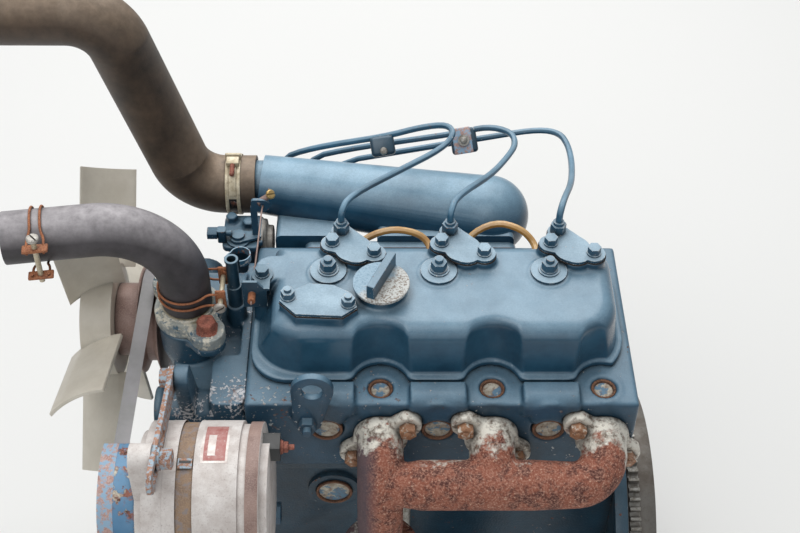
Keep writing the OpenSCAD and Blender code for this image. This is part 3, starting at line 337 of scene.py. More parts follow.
def scorchedIron(name, **changes):
    look = dict(scorchLook, **changes)
    material, tree, place = startMaterial(name)
    parts = addNode(tree, "ShaderNodeSeparateXYZ", {"Vector": place})
    nearHead = between(tree, parts.outputs["Y"], *look["flange"])
    reach = combined(tree, "ADD", nearHead, blotches(tree, place, *look["ragged"]))
    silvered = between(tree, reach, 0.78, 1.0, 0.95)
    grit = noise(tree, place, look["grit"], 5.0, 0.7)
    silver = layered(
        tree, look["silverDark"],
        (blotches(tree, place, *look["sheen"]), look["silver"]),
        (blotches(tree, place, *look["stain"]), look["mid"]))
    finish = layered(
        tree, look["dark"],
        (blotches(tree, place, *look["scale"]), look["mid"]),
        (between(tree, grit, 0.46, 0.62, 0.75), look["light"]),
        (between(tree, grit, 0.64, 0.70), look["fleck"]),
        (between(tree, parts.outputs["X"], *look["coolSide"], 0.9), look["cool"]),
        (silvered, silver),
        # darker in corners: painted shade, with soot
        (shelter(tree, *look["corner"], 0.8), look["soot"]))
    bare = combined(tree, "MULTIPLY", silvered, look["metallic"])
    rough = between(tree, silvered, 0.0, 1.0, look["silverRoughness"], look["roughness"])
    return closeMaterial(material, finish, rough, grit, look["depth"], 0.9, Metallic=bare)


# Sand-cast or turned aluminium and zinc gone dull: grey metal under a pale, blotchy oxide skin,
# dirt in its pores, painted shade in its corners and, where it was once painted over, remnants of the enamel.
alloyLook = {
    "metal": "#c2beb6",
    "oxide": "#a39d94",
    "dirt": "#4a4038",
    "dirtAmount": 0.8,
    "corner": (0.010, 0.85, 0.3),
    "remnant": "#4b7189",
    "remnantLevel": 1.2,
    "crust": "#cfc8b0",
    "crustLevel": 1.2,
    "patch": 14.0,
    "speck": 2.4,
    "speckLevel": 0.56,
    "grain": 1.0,
    "depth": 0.0003,
    "metallic": 0.45,
    "roughness": 0.48,
}


def dullMetal(name, **changes):
    look = dict(alloyLook, **changes)
    material, tree, place = startMaterial(name)
    skin = blotches(tree, place, look["patch"], 0.38, 0.62)
    # darker in corners: painted shade, with dirt specks in the pores below
    hollow = shelter(tree, *look["corner"], look["dirtAmount"])
    level = look["speckLevel"]
    specks = blotches(tree, place, look["speck"], level, level + 0.12, look["dirtAmount"] * 0.8)
    dirtAndShadeMask = combined(tree, "MAXIMUM", hollow, specks)
    kept = blotches(tree, place, 11, look["remnantLevel"], look["remnantLevel"] + 0.03)
    crusted = blotches(tree, place, 9, look["crustLevel"], look["crustLevel"] + 0.05)
    hidden = combined(tree, "MAXIMUM", combined(tree, "MAXIMUM", kept, crusted), dirtAndShadeMask)
    finish = layered(
        tree, look["metal"],
        (skin, look["oxide"]),
        (crusted, look["crust"]),
        (kept, look["remnant"]),
        (dirtAndShadeMask, look["dirt"]))
    bare = between(tree, hidden, 0.0, 1.0, 0.0, look["metallic"])
    rough = between(tree, skin, 0.0, 1.0, look["roughness"] + 0.2, look["roughness"])
    grain = noise(tree, place, look["grain"], 4.0)
    return closeMaterial(material, finish, rough, grain, look["depth"], 0.7, Metallic=bare)


# Cap sand-cast in zinc: coarse pitted grain that is bare and brown on one side and still under
# worn pale paint on the other. Its paint is lighter on what looks up and deeper on the sides, which is
# painted light and shade, with painted shade in its corners.
capLook = {
    "paint": "#9ab4c4",
    "paintDeep": "#5f8299",
    "bare": "#c9cac6",
    "pit": "#85786c",
    "rubbed": "#cfd6d8",
    "grime": "#191715",
    "grain": 1.7,
    "depth": 0.0011,
    "metallic": 0.1,
    "roughness": 0.5,
    "middle": (-0.228, -0.026, 0.378),
    "across": (0.7, -0.7, 0.0),
    "border": (-0.006, 0.006),
    "ragged": (8, 0.3, 0.7, 0.006, -0.006),
    "edge": (0.0012, 0.9, 0.4),
    "corner": (0.008, 0.75, 0.2),
}


def pittedCap(name, **changes):
    look = dict(capLook, **changes)
    material, tree, place = startMaterial(name)
    offset = addNode(tree, "ShaderNodeVectorMath", {0: place, 1: look["middle"]}, operation="SUBTRACT")
    side = addNode(tree, "ShaderNodeVectorMath", {
        0: offset.outputs["Vector"], 1: look["across"]}, operation="DOT_PRODUCT")
    split = combined(tree, "ADD", side.outputs["Value"], blotches(tree, place, *look["ragged"]))
    bareSide = between(tree, split, *look["border"])
    grain = noise(tree, place, look["grain"], 3.0, 0.6)
    pits = between(tree, grain, 0.52, 0.40)
    finish = layered(
        tree, look["paintDeep"],
        # pale paint on what looks up over deeper paint on the sides: painted light and shade
        (facing(tree, "Z", 0.1, 0.9), look["paint"]),
        (combined(tree, "MULTIPLY", pits, 0.4), look["paintDeep"]),
        (bareSide, look["bare"]),
        (combined(tree, "MULTIPLY", pits, bareSide), look["pit"]),
        (shelter(tree, *look["edge"], 0.8, inside=True), look["rubbed"]),
        # darker in corners: painted shade
        (shelter(tree, *look["corner"], 0.85), look["grime"]))
    return closeMaterial(
        material, finish, look["roughness"], grain, look["depth"], 0.9, Metallic=look["metallic"])


# Moulded rubber, matt, with road dust and a painted top light on its upper side, painted shade in its
# corners, and a fine wrinkled grain.
rubberLook = {
    "rubber": "#353234",
    "bloom": "#4f4b4e",
    "dust": "#c2bcbe",
    "dustAmount": 0.8,
    "dustFrom": 0.25,
    "sift": (9, 0.3, 0.68, 1.0, 0.45),
    "flank": "#2a2a2b",
    "flankAmount": 0.0,
    "flankFaces": (0.55, 0.75),
    "grime": "#161412",
    "corner": (0.008, 0.8, 0.25),
    "patch": 30.0,
    "grain": 0.8,
    "depth": 0.0002,
    "roughness": 0.55,
}


def topLitDustyRubber(name, **changes):
    look = dict(rubberLook, **changes)
    material, tree, place = startMaterial(name)
    # lighter on the upper side: dust and a painted top light
    lying = facing(tree, "Z", look["dustFrom"], 0.95, look["dustAmount"])
    dustAndTopLightMask = combined(tree, "MULTIPLY", lying, blotches(tree, place, *look["sift"]))
    low, high = look["flankFaces"]
    front = facing(tree, "X", -low, -high, look["flankAmount"])
    back = facing(tree, "X", low, high, look["flankAmount"])
    finish = layered(
        tree, look["rubber"],
        (blotches(tree, place, look["patch"], 0.36, 0.66), look["bloom"]),
        (dustAndTopLightMask, look["dust"]),
        (combined(tree, "MAXIMUM", front, back), look["flank"]),
        # darker in corners: painted shade
        (shelter(tree, *look["corner"], 0.6), look["grime"]))
    grain = noise(tree, place, look["grain"], 5.0)
    return closeMaterial(material, finish, look["roughness"], grain, look["depth"], 0.6, IOR=1.52)


# each finish: its material, the carried-over nodes that wear it, and where it differs from the
# material's own look
finishLooks = {
    "coverEnamel": (enamel, ["rocker_cover"], dict(
        dust="#a8c6d8", roughness=0.22, chipLevel=0.74, rustLevel=0.80, zoneWear=0.02, rustFrom=0.54,
        sores=((-154, -14, 371, 14, 0.17), (-250, -22, 371, 10, 0.12), (-322, 4, 370, 20, 0.12)))),
    "plateEnamel": (enamel, ["front_lid", "injector_lids"], dict(
        dust="#b9d3e2", dustAmount=0.8, edgeWear=0.30, edgeReach=0.0009, zoneWear=0.0, rustLevel=0.80,
        rustFrom=0.54, chip="#dcdfdc", chipSize=4.0)),
    "boltEnamel": (enamel, ["cover_nuts", "line_nuts"], dict(
        dust="#a9c4d4", chipLevel=0.66, edgeWear=0.30, edgeReach=0.0010, zoneWear=0.0, rustLevel=0.74,
        rustFrom=0.52, chip="#cfd0cc", chipSize=3.0, rustSize=12.0)),
    "castEnamel": (enamel, [
        "cylinder_head", "injection_pump", "alternator_bracket", "lifting_eye", "governor_housing",
        "stop_linkage"], dict(
        paint="#2b5068", paintDeep="#1b3647", dust="#8fb0c3", dustAmount=0.55, rustLevel=0.68,
        grimeAmount=0.95, grainDepth=0.0003, grain=1.4, chipSize=4.5,
        sores=((-318, -92, 315, 44, 0.12), (-228, -84, 315, 24, 0.10), (-289, -109, 343, 20, 0.05)))),
    # the block, pan and rear plate take a darker blue than the head: partly painted shade, partly oil grime
    "blockEnamel": (enamel, ["cylinder_block", "oil_pan", "rear_plate"], dict(
        paint="#214153", paintDeep="#152b39", dust="#6a8798", dustAmount=0.5, chipLevel=0.70,
        grimeAmount=0.95, grainDepth=0.0004, grain=1.8, chipSize=5.0)),
    "tubeEnamel": (enamel, ["intake_manifold"], dict(
        paint="#2c5771", paintDeep="#1f4157", dust="#b3d6ea", dustAmount=0.74, chipLevel=0.73,
        rustLevel=0.80, grimeAmount=0.6, zoneWear=0.02, chipSize=4.0, roughness=0.24)),
    "lineEnamel": (enamel, ["injection_lines"], dict(
        paint="#35647f", dust="#a9c8da", chipLevel=0.70, rustLevel=0.76, chipSize=3.0, grimeAmount=0.5,
        roughness=0.28)),
    "caseEnamel": (enamel, ["timing_case"], dict(
        paint="#264a60", paintDeep="#193446", dust="#7c9db0", dustAmount=0.5, grimeAmount=0.95,
        grainDepth=0.0004, grain=1.8, chipSize=4.0)),
    "pumpEnamel": (enamel, ["water_pump"], dict(
        paint="#2d536a", paintDeep="#203e50", dustAmount=0.45, chipLevel=0.66, zoneWear=0.07,
        rustLevel=0.70, rustFrom=0.54, chip="#cfd0d3", chipSize=3.2, rustSize=30.0, grainDepth=0.0004,
        sores=((-350, -84, 314, 30, 0.17), (-386, -96, 300, 26, 0.13), (-345, -100, 300, 22, 0.10)))),
    "guardEnamel": (enamel, ["belt_guard"], dict(
        paint="#5b8bb0", paintDeep="#43749a", dust="#8fb3cc", dustAmount=0.3, chipLevel=0.58,
        edgeWear=0.2, zoneWear=0.08, rust="#a86f60", chip="#cdc7b4", chipSize=9.0, rustSize=14.0,
        rustLevel=0.54)),
    "bracketEnamel": (enamel, ["cable_bracket", "vent_pipe"], dict(
        paint="#28495d", paintDeep="#1a3443", dust="#9dbccd", chipLevel=0.70, edgeWear=0.22,
        edgeReach=0.0008, rustLevel=0.78, rustFrom=0.54, chip="#b4c3ca", chipSize=3.0)),
    "clampEnamel": (enamel, [], dict(
        paint="#173446", paintDeep="#0f2432", dust="#7c9cae", dustAmount=0.4, chipLevel=0.72,
        edgeWear=0.14, edgeReach=0.0008, chip="#8fa6b2", chipSize=3.0, rustFrom=0.54, roughness=0.26)),
    "blackEnamel": (enamel, ["starter_motor", "oil_filter"], dict(
        paint="#1d1f21", paintDeep="#141516", dust="#4f4d49", dustAmount=0.4, chipLevel=0.72,
        rustLevel=0.70, grain=1.5)),
    "manifoldIron": (scorchedIron, ["exhaust_manifold"], {}),
    "strapRust": (rustyIron, ["adjusting_strap"], dict(
        dark="#86604f", mid="#ae806a", light="#cda98e", pale="#a3b6c2", patch=8.0, pit=1.0,
        depth=0.0002, paleLevel=0.60, roughness=0.7)),
    "statorRust": (rustyIron, ["alternator_stator"], dict(
        dark="#7c6a5e", mid="#9d8268", light="#b3977c", pale="#8f8480", patch=14.0, pit=1.0,
        paleLevel=0.62, roughness=0.75)),
    "guardRust": (rustyIron, [], dict(
        dark="#9c7770", mid="#bd9b92", light="#d6bdb2", pale="#93b1c8", depth=0.0002, paleLevel=0.58,
        roughness=0.65)),
    "clampRust": (rustyIron, ["hose_clamps"], dict(
        dark="#6e3f2c", mid="#a2623f", light="#c68a60", patch=6.0, pit=0.8, depth=0.0002,
        roughness=0.7)),
    "nutBrass": (rustyIron, ["manifold_nuts"], dict(
        dark="#6b4a38", mid="#9d6f50", light="#bb8f6d", pale="#c9c1b4", patch=10.0, pit=0.7,
        depth=0.0001, paleLevel=0.66, roughness=0.5)),
    "boltRust": (rustyIron, [], dict(
        dark="#5b3229", mid="#945343", light="#b67862", patch=8.0, pit=1.0, roughness=0.7)),
    "rustTurned": (rustyIron, ["fan_spacer", "fan_pulley"], dict(
        dark="#7a6058", mid="#9c8177", light="#b39b91", patch=30.0, pit=0.8, depth=0.0001,
        roughness=0.5)),
    "plugRust": (rustyIron, ["core_plugs"], {}),
    "gasket": (rustyIron, ["intake_gasket"], dict(
        dark="#3a2620", mid="#6b4434", light="#8a5f4a", patch=8.0, pit=0.8, depth=0.0001)),
    "darkGasket": (rustyIron, [], dict(
        dark="#15130f", mid="#2b221c", light="#5e4a3c", patch=5.0, pit=0.8, depth=0.0002,
        paleLevel=0.85)),
    "plugFace": (dullMetal, [], dict(
        metal="#c9c3b4", oxide="#9b8f7e", dirt="#6f4a38", remnant="#5f8299", remnantLevel=0.52,
        patch=6.0, speck=4.0, speckLevel=0.52, metallic=0.2)),
    "castAlloy": (dullMetal, [], {}),
    "housingAlloy": (dullMetal, ["alternator", "alternator_rear"], dict(
        metal="#e2dcd7", oxide="#cbc2bc", dirt="#93827a", speck=1.5, patch=16.0, metallic=0.1,
        roughness=0.55, depth=0.0005, dirtAmount=0.6)),
    "crustAlloy": (dullMetal, ["thermostat_cover"], dict(
        metal="#a9aca6", oxide="#7f8b90", crust="#d2cdbe", crustLevel=0.52, remnant="#3f6379",
        remnantLevel=0.60, dirt="#7d6a38", speck=3.4, metallic=0.2, roughness=0.6, depth=0.0006,
        grain=1.6)),
    "dullSteel": (dullMetal, ["crankshaft", "ring_gear", "dipstick"], dict(
        metal="#b3b1ab", oxide="#857f76", metallic=0.8, roughness=0.38, patch=5.0)),
    "bareIron": (dullMetal, ["crank_pulley", "flywheel", "alternator_pulley"], dict(
        metal="#7d7973", oxide="#6a625a", dirt="#3a3029", metallic=0.6, roughness=0.42, patch=26.0,
        speck=1.6, dirtAmount=0.7)),
    "brass": (dullMetal, [], dict(
        metal="#d8bd83", oxide="#b3935c", metallic=0.7, roughness=0.35, patch=4.0, dirtAmount=0.4)),
    "bandSteel": (dullMetal, ["air_band"], dict(
        metal="#ddd2b9", oxide="#bcae92", dirt="#6a5134", metallic=0.3, roughness=0.42, patch=7.0,
        dirtAmount=0.5)),
    "plateBlank": (dullMetal, [], dict(
        metal="#ded8d2", oxide="#cbbeb8", dirt="#a98f86", speck=3.0, speckLevel=0.60, patch=9.0,
        metallic=0.3, roughness=0.35, depth=0.00005, dirtAmount=0.5)),
    "plateField": (dullMetal, [], dict(
        metal="#a5625c", oxide="#b98882", dirt="#cbb9b2", speckLevel=0.55, patch=7.0, metallic=0.1,
        roughness=0.4, depth=0.00005, dirtAmount=0.7)),
    "capAlloy": (pittedCap, ["filler_cap"], {}),
    "hoseRubber": (topLitDustyRubber, ["top_hose"], {}),
    "airRubber": (topLitDustyRubber, ["air_hose"], dict(
        rubber="#35291f", bloom="#554435", dust="#b39d86", dustAmount=0.7, dustFrom=0.15)),
    "beltRubber": (topLitDustyRubber, ["fan_belt"], dict(
        rubber="#858584", bloom="#98959a", dust="#a5a2a0", dustAmount=0.5, dustFrom=-0.1,
        flankAmount=0.95)),
    "fanPlastic": (topLitDustyRubber, ["fan"], dict(
        rubber="#cdc5b6", bloom="#dbd4c6", dust="#b9ae9c", dustAmount=0.3, dustFrom=-0.1,
        roughness=0.42, depth=0.00005)),
    "amberHose": (topLitDustyRubber, ["return_hoses"], dict(
        rubber="#a86a1c", bloom="#c4893a", dust="#e0caa0", dustAmount=0.6, dustFrom=-0.1,
        roughness=0.22, depth=0.00003)),
}
finishes = {name: make(name, **changes) for name, (make, members, changes) in finishLooks.items()}
nodeFinish = {
    nodeName: name for name, (make, members, changes) in finishLooks.items() for nodeName in members}
print("materials made:", len(finishes))

for nodeName, node in nodes.items():
    node.data.materials.clear()
    node.data.materials.append(finishes[nodeFinish[nodeName]])


def deselect():
    bpy.ops.object.select_all(action="DESELECT")


def activate(piece):
    deselect()
    piece.select_set(True)
    bpy.context.view_layer.objects.active = piece


def applyModifiers(piece):
    activate(piece)
    for modifier in list(piece.modifiers):
        bpy.ops.object.modifier_apply(modifier=modifier.name)


def applyPlace(piece):
    activate(piece)
    bpy.ops.object.transform_apply(location=True, rotation=True, scale=True)


def finishPiece(piece, name, body, finish, angle=35):
    # place and size go into the mesh, the object stays at the origin
    applyPlace(piece)
    piece.name = name
    piece.data.materials.clear()
    piece.data.materials.append(finishes[finish])
    bpy.ops.object.shade_smooth_by_angle(angle=math.radians(angle))
    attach(piece, body)


def openPiece(piece):
    # opens the piece for editing with everything selected
    activate(piece)
    bpy.ops.object.mode_set(mode="EDIT")
    bpy.ops.mesh.select_all(action="SELECT")


def closePiece():
    bpy.ops.object.mode_set(mode="OBJECT")


def closeSolid():
    bpy.ops.mesh.select_all(action="SELECT")
    bpy.ops.mesh.normals_make_consistent(inside=False)
    closePiece()


def selectFaces(piece, wanted):
    # opens the piece for editing with only the wanted faces selected
    activate(piece)
    bpy.ops.object.mode_set(mode="EDIT")
    bpy.ops.mesh.select_all(action="DESELECT")
    bpy.ops.mesh.select_mode(type="FACE")
    closePiece()
    for face in piece.data.polygons:
        face.select = wanted(face)
    bpy.ops.object.mode_set(mode="EDIT")


def mergeFlat():
    bpy.ops.mesh.dissolve_limited(angle_limit=math.radians(1.0))


def drawUp(rise):
    bpy.ops.mesh.extrude_region_move(TRANSFORM_OT_translate={"value": (0, 0, rise / 1000)})


def copyNode(nodeName):
    # a node's triangles are loose, so its copy is merged
    source = nodes[nodeName]
    piece = newObject(nodeName + "Copy", source.data.copy())
    piece.matrix_world = source.matrix_world.copy()
    openPiece(piece)
    bpy.ops.mesh.remove_doubles(threshold=0.00001)
    closePiece()
    return piece


def accent(piece, finish, *boxes):
    # another finish on the faces of a piece that lie inside boxes, given in millimetres
    piece.data.materials.append(finishes[finish])
    for face in piece.data.polygons:
        for low, high in boxes:
            if all(low[k] <= face.center[k] * 1000 <= high[k] for k in range(3)):
                face.material_index = len(piece.data.materials) - 1


def bevelEdges(piece, width, segments=2):
    # rounds the sharp edges, width in millimetres
    bevel = piece.modifiers.new("edges", "BEVEL")
    bevel.width = width / 1000
    bevel.segments = segments
    bevel.limit_method = "ANGLE"
    bevel.angle_limit = math.radians(32)
    bevel.use_clamp_overlap = True
    applyModifiers(piece)


def thicken(piece, thick, offset):
    sheet = piece.modifiers.new("thick", "SOLIDIFY")
    sheet.thickness = thick / 1000
    sheet.offset = offset
    applyModifiers(piece)


bodies = frame["record"]["behaviour"]["bodies"]
bodyOf = {nodeName: body for body, members in bodies.items() for nodeName in members}
dressed = {}


def standFor(piece, nodeName, suffix, angle):
    finishPiece(piece, nodeName + suffix, bodyOf[nodeName], nodeFinish[nodeName], angle)
    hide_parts(nodeName)
    dressed[nodeName] = piece


def castCopy(nodeName, cell, rounds, keep):
    # a sand casting has no sharp line: remeshed in small cells, smoothed and thinned again
    piece = copyNode(nodeName)
    remesh = piece.modifiers.new("cells", "REMESH")
    remesh.mode = "VOXEL"
    remesh.voxel_size = cell / 1000
    smooth = piece.modifiers.new("soften", "SMOOTH")
    smooth.factor = 0.5
    smooth.iterations = rounds
    thin = piece.modifiers.new("thin", "DECIMATE")
    thin.ratio = keep
    applyModifiers(piece)
    standFor(piece, nodeName, ".cast", 60)


def edgedCopy(nodeName, width):
    # rolled, turned and forged parts keep their form and get a small round on each edge
    piece = copyNode(nodeName)
    openPiece(piece)
    mergeFlat()
    closePiece()
    bevelEdges(piece, width)
    standFor(piece, nodeName, ".edged", 40)


# each casting's cell in millimetres, rounds of smoothing and share of its faces kept
castings = {
    "rocker_cover": (1.4, 6, 0.55),
    "cylinder_head": (1.9, 4, 0.5),
    "exhaust_manifold": (1.4, 8, 0.5),
    "water_pump": (1.5, 6, 0.5),
    "thermostat_cover": (1.0, 5, 0.6),
    "filler_cap": (0.6, 3, 0.7),
    "governor_housing": (1.2, 3, 0.5),
}
for nodeName, (cell, rounds, keep) in castings.items():
    castCopy(nodeName, cell, rounds, keep)
# the round on each node's edges, in millimetres
edges = {
    "front_lid": 0.8, "injector_lids": 0.8, "cover_nuts": 0.6, "line_nuts": 0.5, "intake_manifold": 1.5,
    "lifting_eye": 0.8, "alternator": 1.2, "alternator_rear": 1.6, "alternator_bracket": 1.2,
    "adjusting_strap": 0.6, "cable_bracket": 0.4, "stop_linkage": 0.5, "fan_pulley": 0.6,
    "fan_spacer": 0.8, "crank_pulley": 0.6, "alternator_pulley": 0.6, "cylinder_block": 2.0,
    "timing_case": 1.5, "oil_pan": 2.0, "rear_plate": 0.8, "injection_pump": 1.5, "starter_motor": 1.2,
    "oil_filter": 1.5, "flywheel": 1.0, "belt_guard": 0.5, "injection_lines": 0.1, "return_hoses": 0.1,
    "air_hose": 0.8, "top_hose": 0.8, "fan_belt": 0.4, "fan": 0.6, "vent_pipe": 0.4, "dipstick": 0.3,
    "intake_gasket": 0.2, "alternator_stator": 0.5, "crankshaft": 0.6,
}
for nodeName, width in edges.items():
    edgedCopy(nodeName, width)
print("castings and edges done")

# Second finishes on single faces: the lids' enamel low on the cover nuts, rusty bolts, a bare flange, a rusty
# ring
accents = (
    ("cover_nuts", "plateEnamel", ((-340, -130, 371.0), (0, 80, 375.6))),
    ("filler_cap", "boltEnamel", ((-262, -60, 384.2), (-194, 10, 400))),
    ("thermostat_cover", "boltRust",
     ((-384, -53, 343.4), (-366, -33, 360)), ((-422, 4, 343.4), (-404, 22, 360))),
    ("cable_bracket", "clampRust", ((-341.5, -34, 360.5), (-332.5, -23.2, 369.5))),
    ("governor_housing", "castAlloy", ((-340, 88, 276), (-329.5, 132, 320))),
    ("alternator_rear", "rustTurned", ((-332.4, -240, 220), (-322.4, -110, 350))),
    ("alternator_rear", "blackEnamel", ((-315.5, -162, 316), (-306, -144, 334))),
)
for nodeName, finish, *boxes in accents:
    accent(dressed[nodeName], finish, *boxes)


def turned(profile, sides=32):
    # a disc drawn up step by step: radius and height from its foot to its crown, in millimetres
    deselect()
    footRadius, foot = profile[0]
    bpy.ops.mesh.primitive_circle_add(
        vertices=sides, radius=footRadius / 1000, fill_type="NGON", location=(0, 0, 0))
    piece = bpy.context.object
    openPiece(piece)
    bpy.ops.transform.translate(value=(0, 0, foot / 1000))
    for (radius, height), (nextRadius, nextHeight) in zip(profile, profile[1:]):
        drawUp(nextHeight - height)
        grow = nextRadius / radius
        bpy.ops.transform.resize(value=(grow, grow, 1), center_override=(0, 0, 0))
    closeSolid()
    return piece


def seat(piece, at, axis=(0, 0, 1), turn=0.0):
    # stands a piece modelled at the origin on its place, in millimetres, along an axis
    stand = Vector((0, 0, 1)).rotation_difference(Vector(axis)).to_matrix().to_4x4()
    place = Matrix.Translation(Vector(at) / 1000)
    piece.matrix_world = place @ stand @ Matrix.Rotation(math.radians(turn), 4, "Z")
    return piece


def joined(pieces):
    deselect()
    for piece in pieces:
        piece.select_set(True)
    bpy.context.view_layer.objects.active = pieces[0]
    if len(pieces) > 1:
        bpy.ops.object.join()
    return bpy.context.object


def repeated(piece, seats):
    # copies of one piece on their seats, each with its own mesh, joined into one
    applyPlace(piece)
    copies = [seat(newObject(piece.name, piece.data.copy()), *place) for place in seats]
    activate(piece)
    bpy.ops.object.delete()
    return joined(copies)


def addPart(piece, name, finish, nodeName=None):
    # every part made here rides on the engine itself
    finishPiece(piece, name, "engine", finish)
    if nodeName:
        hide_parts(nodeName)


def swept(points, resolution, **settings):
    # a wire or strip along points in millimetres, smooth through its bends
    curve = bpy.data.curves.new("swept", "CURVE")
    curve.dimensions = "3D"
    for key, value in settings.items():
        setattr(curve, key, value)
    line = curve.splines.new("NURBS")
    line.points.add(len(points) - 1)
    for knot, (x, y, z) in zip(line.points, points):
        knot.co = (x / 1000, y / 1000, z / 1000, 1)
    line.use_endpoint_u = True
    line.order_u = 3
    line.resolution_u = resolution
    activate(newObject("swept", curve))
    bpy.ops.object.convert(target="MESH")
    return bpy.context.object


def bentWire(points, thickness):
    return swept(points, 8, bevel_depth=thickness / 2000, bevel_resolution=3, use_fill_caps=True)


def bentStrip(points, wide, thick):
    # flat strip standing on edge
    piece = swept(points, 6, extrude=wide / 2000)
    thicken(piece, thick, 0)
    return piece


def wrappedSheet(middle, radius, thick, rows, arc, sides=120):
    # sheet wrapped round a body that lies along X: rows and radius in millimetres, arc in degrees
    # from +Y to +Z
    deselect()
    bpy.ops.mesh.primitive_cylinder_add(
        vertices=sides, radius=radius / 1000, depth=(rows[1] - rows[0]) / 1000, end_fill_type="NOTHING",
        location=(sum(rows) / 2000, middle[0] / 1000, middle[1] / 1000), rotation=(0, math.pi / 2, 0))
    piece = bpy.context.object
    applyPlace(piece)

    def outside(face):
        side, up = face.center.y - middle[0] / 1000, face.center.z - middle[1] / 1000
        return not arc[0] <= math.degrees(math.atan2(up, side)) % 360 <= arc[1]

    selectFaces(piece, outside)
    bpy.ops.mesh.delete(type="FACE")
    closePiece()
    thicken(piece, thick, 1)
    return piece


def roundBar(radius, length):
    return turned([(radius, 0), (radius, length)], 24)


def hexagon(across, height):
    # a nut or a bolt head with its corners turned off at the top
    corner = across / 2 / math.cos(math.radians(30))
    return turned([(corner * 0.97, 0), (corner, 0.4), (corner, height - 0.8), (corner * 0.9, height)], 6)


def slottedHead(radius, height, slot=(1.4, 3.4)):
    # a screw head with a slot across it, slot wide and slot high on its crown
    head = turned([(radius * 0.92, 0), (radius, 0.5), (radius, height - 0.8), (radius * 0.8, height)])
    deselect()
    bpy.ops.mesh.primitive_cube_add(size=1, location=(0, 0, height / 1000))
    bpy.ops.transform.resize(value=(radius * 2.6 / 1000, slot[0] / 1000, slot[1] / 1000))
    blade = bpy.context.object
    cut = head.modifiers.new("slot", "BOOLEAN")
    cut.operation = "DIFFERENCE"
    cut.object = blade
    applyModifiers(head)
    activate(blade)
    bpy.ops.object.delete()
    return head


def plate(size, edge):
    # a flat or blocky part with its edges rounded, in millimetres
    deselect()
    bpy.ops.mesh.primitive_cube_add(size=1, location=(0, 0, 0))
    piece = bpy.context.object
    bpy.ops.transform.resize(value=[side / 1000 for side in size])
    applyPlace(piece)
    bevelEdges(piece, edge, 3)
    return piece


# Dished core plugs: a rusty rolled rim and a mottled face at the bottom of the cup
plugs = {
    "deck": {"radius": 10.7, "row": (-228.5, -134.5, -40.5), "at": (-84.0, 311.0), "axis": (0, 0, 1)},
    "side": {"radius": 13.7, "row": (-274.0, -180.0, -86.0), "at": (-100.5, 282.5), "axis": (0, -1, 0)},
    "block": {"radius": 16.7, "row": (-271.0, -177.0, -83.0), "at": (-82.0, 165.0), "axis": (0, -1, 0)},
}


def makePlugs(name, look):
    radius = look["radius"]
    rim = turned([
        (radius, 0), (radius, 2.6), (radius - 0.5, 3.2), (radius - 1.7, 3.2), (radius - 2.3, 2.7),
        (radius - 2.7, 1.0), (radius * 0.5, 0.8), (radius * 0.1, 0.8)])
    face = turned([
        (radius - 2.75, 0.9), (radius - 2.75, 1.2), (radius - 3.6, 1.5), (radius * 0.55, 1.15),
        (radius * 0.1, 1.1)])
    seats = [((x, *look["at"]), look["axis"], 40 * k) for k, x in enumerate(look["row"])]
    addPart(repeated(rim, seats), name + "PlugRims", "plugRust", "core_plugs")
    addPart(repeated(face, seats), name + "PlugFaces", "plugFace", "core_plugs")


for plugName, look in plugs.items():
    makePlugs(plugName, look)
print("core plugs modelled")

# Paper gaskets stand out a little under the bolted lids
gaskets = {"lids": ("front_lid", "injector_lids"), "level": 377.0, "grow": 1.4, "thick": 0.9, "sink": 0.2}


def gasketUnder(nodeName, look):
    piece = copyNode(nodeName)
    level = look["level"] / 1000
    selectFaces(piece, lambda face: face.normal.z > -0.9 or abs(face.center.z - level) > 0.0001)
    bpy.ops.mesh.delete(type="FACE")
    bpy.ops.mesh.select_all(action="SELECT")
    mergeFlat()
    bpy.ops.mesh.separate(type="LOOSE")
    closePiece()
    parts = list(bpy.context.selected_objects)
    for part in parts:
        corners = [part.matrix_world @ Vector(corner) for corner in part.bound_box]
        middle = sum(corners, Vector()) / 8
        spans = [max(c[k] for c in corners) - min(c[k] for c in corners) for k in (0, 1)]
        grow = [1 + look["grow"] / 1000 / span for span in spans]
        openPiece(part)
        bpy.ops.transform.resize(value=(*grow, 1), center_override=middle)
        bpy.ops.transform.translate(value=(0, 0, -look["sink"] / 1000))
        drawUp(look["thick"])
        closeSolid()
    addPart(joined(parts), nodeName + ".gasket", "darkGasket")


for nodeName in gaskets["lids"]:
    gasketUnder(nodeName, gaskets)
print("gaskets modelled")

# Exhaust nuts, heavy brass-coloured hexagons with the stud's end nearly flush
exhaustNuts = {
    "face": -112,
    "places": (
        (-205.5, 297, 12), (-251.5, 259, 40), (-157.5, 297, 3), (-111.5, 259, 22), (-63.5, 297, 50),
        (-17.5, 259, 31)),
    "nut": (13.0, 8.0),
    "stud": [(3.9, 7.4), (3.9, 8.6), (3.0, 9.3), (0.6, 9.5)],
}


def makeExhaustNuts(look):
    seats = [((x, look["face"], z), (0, -1, 0), turn) for x, z, turn in look["places"]]
    nuts = repeated(hexagon(*look["nut"]), seats)
    addPart(nuts, "exhaustNuts", "nutBrass", "manifold_nuts")
    studs = repeated(turned(look["stud"], 20), seats)
    addPart(studs, "exhaustStuds", "nutBrass", "manifold_nuts")


makeExhaustNuts(exhaustNuts)

# Twin-wire hose clamps: two rusty wires hooked into two plates that a long screw draws together
clampLook = {
    "ring": 22.9,
    "wire": 2.1,
    "apart": 8.0,
    "plateSize": (9.0, 2.6, 20.0),
    "plateEdge": 1.1,
    "plates": (15.0, -13.0),
    "platesApart": 13.0,
    "screw": (2.2, 44),
    "screwOut": 31.0,
    "screwPast": 6,
    "head": (4.9, 3.6),
    "headDown": 37,
    "seats": (((-394, -15, 364), (0, 0, 1), 0), ((-500.9, -30, 441), (0.9903, 0.1392, 0), -84)),
}


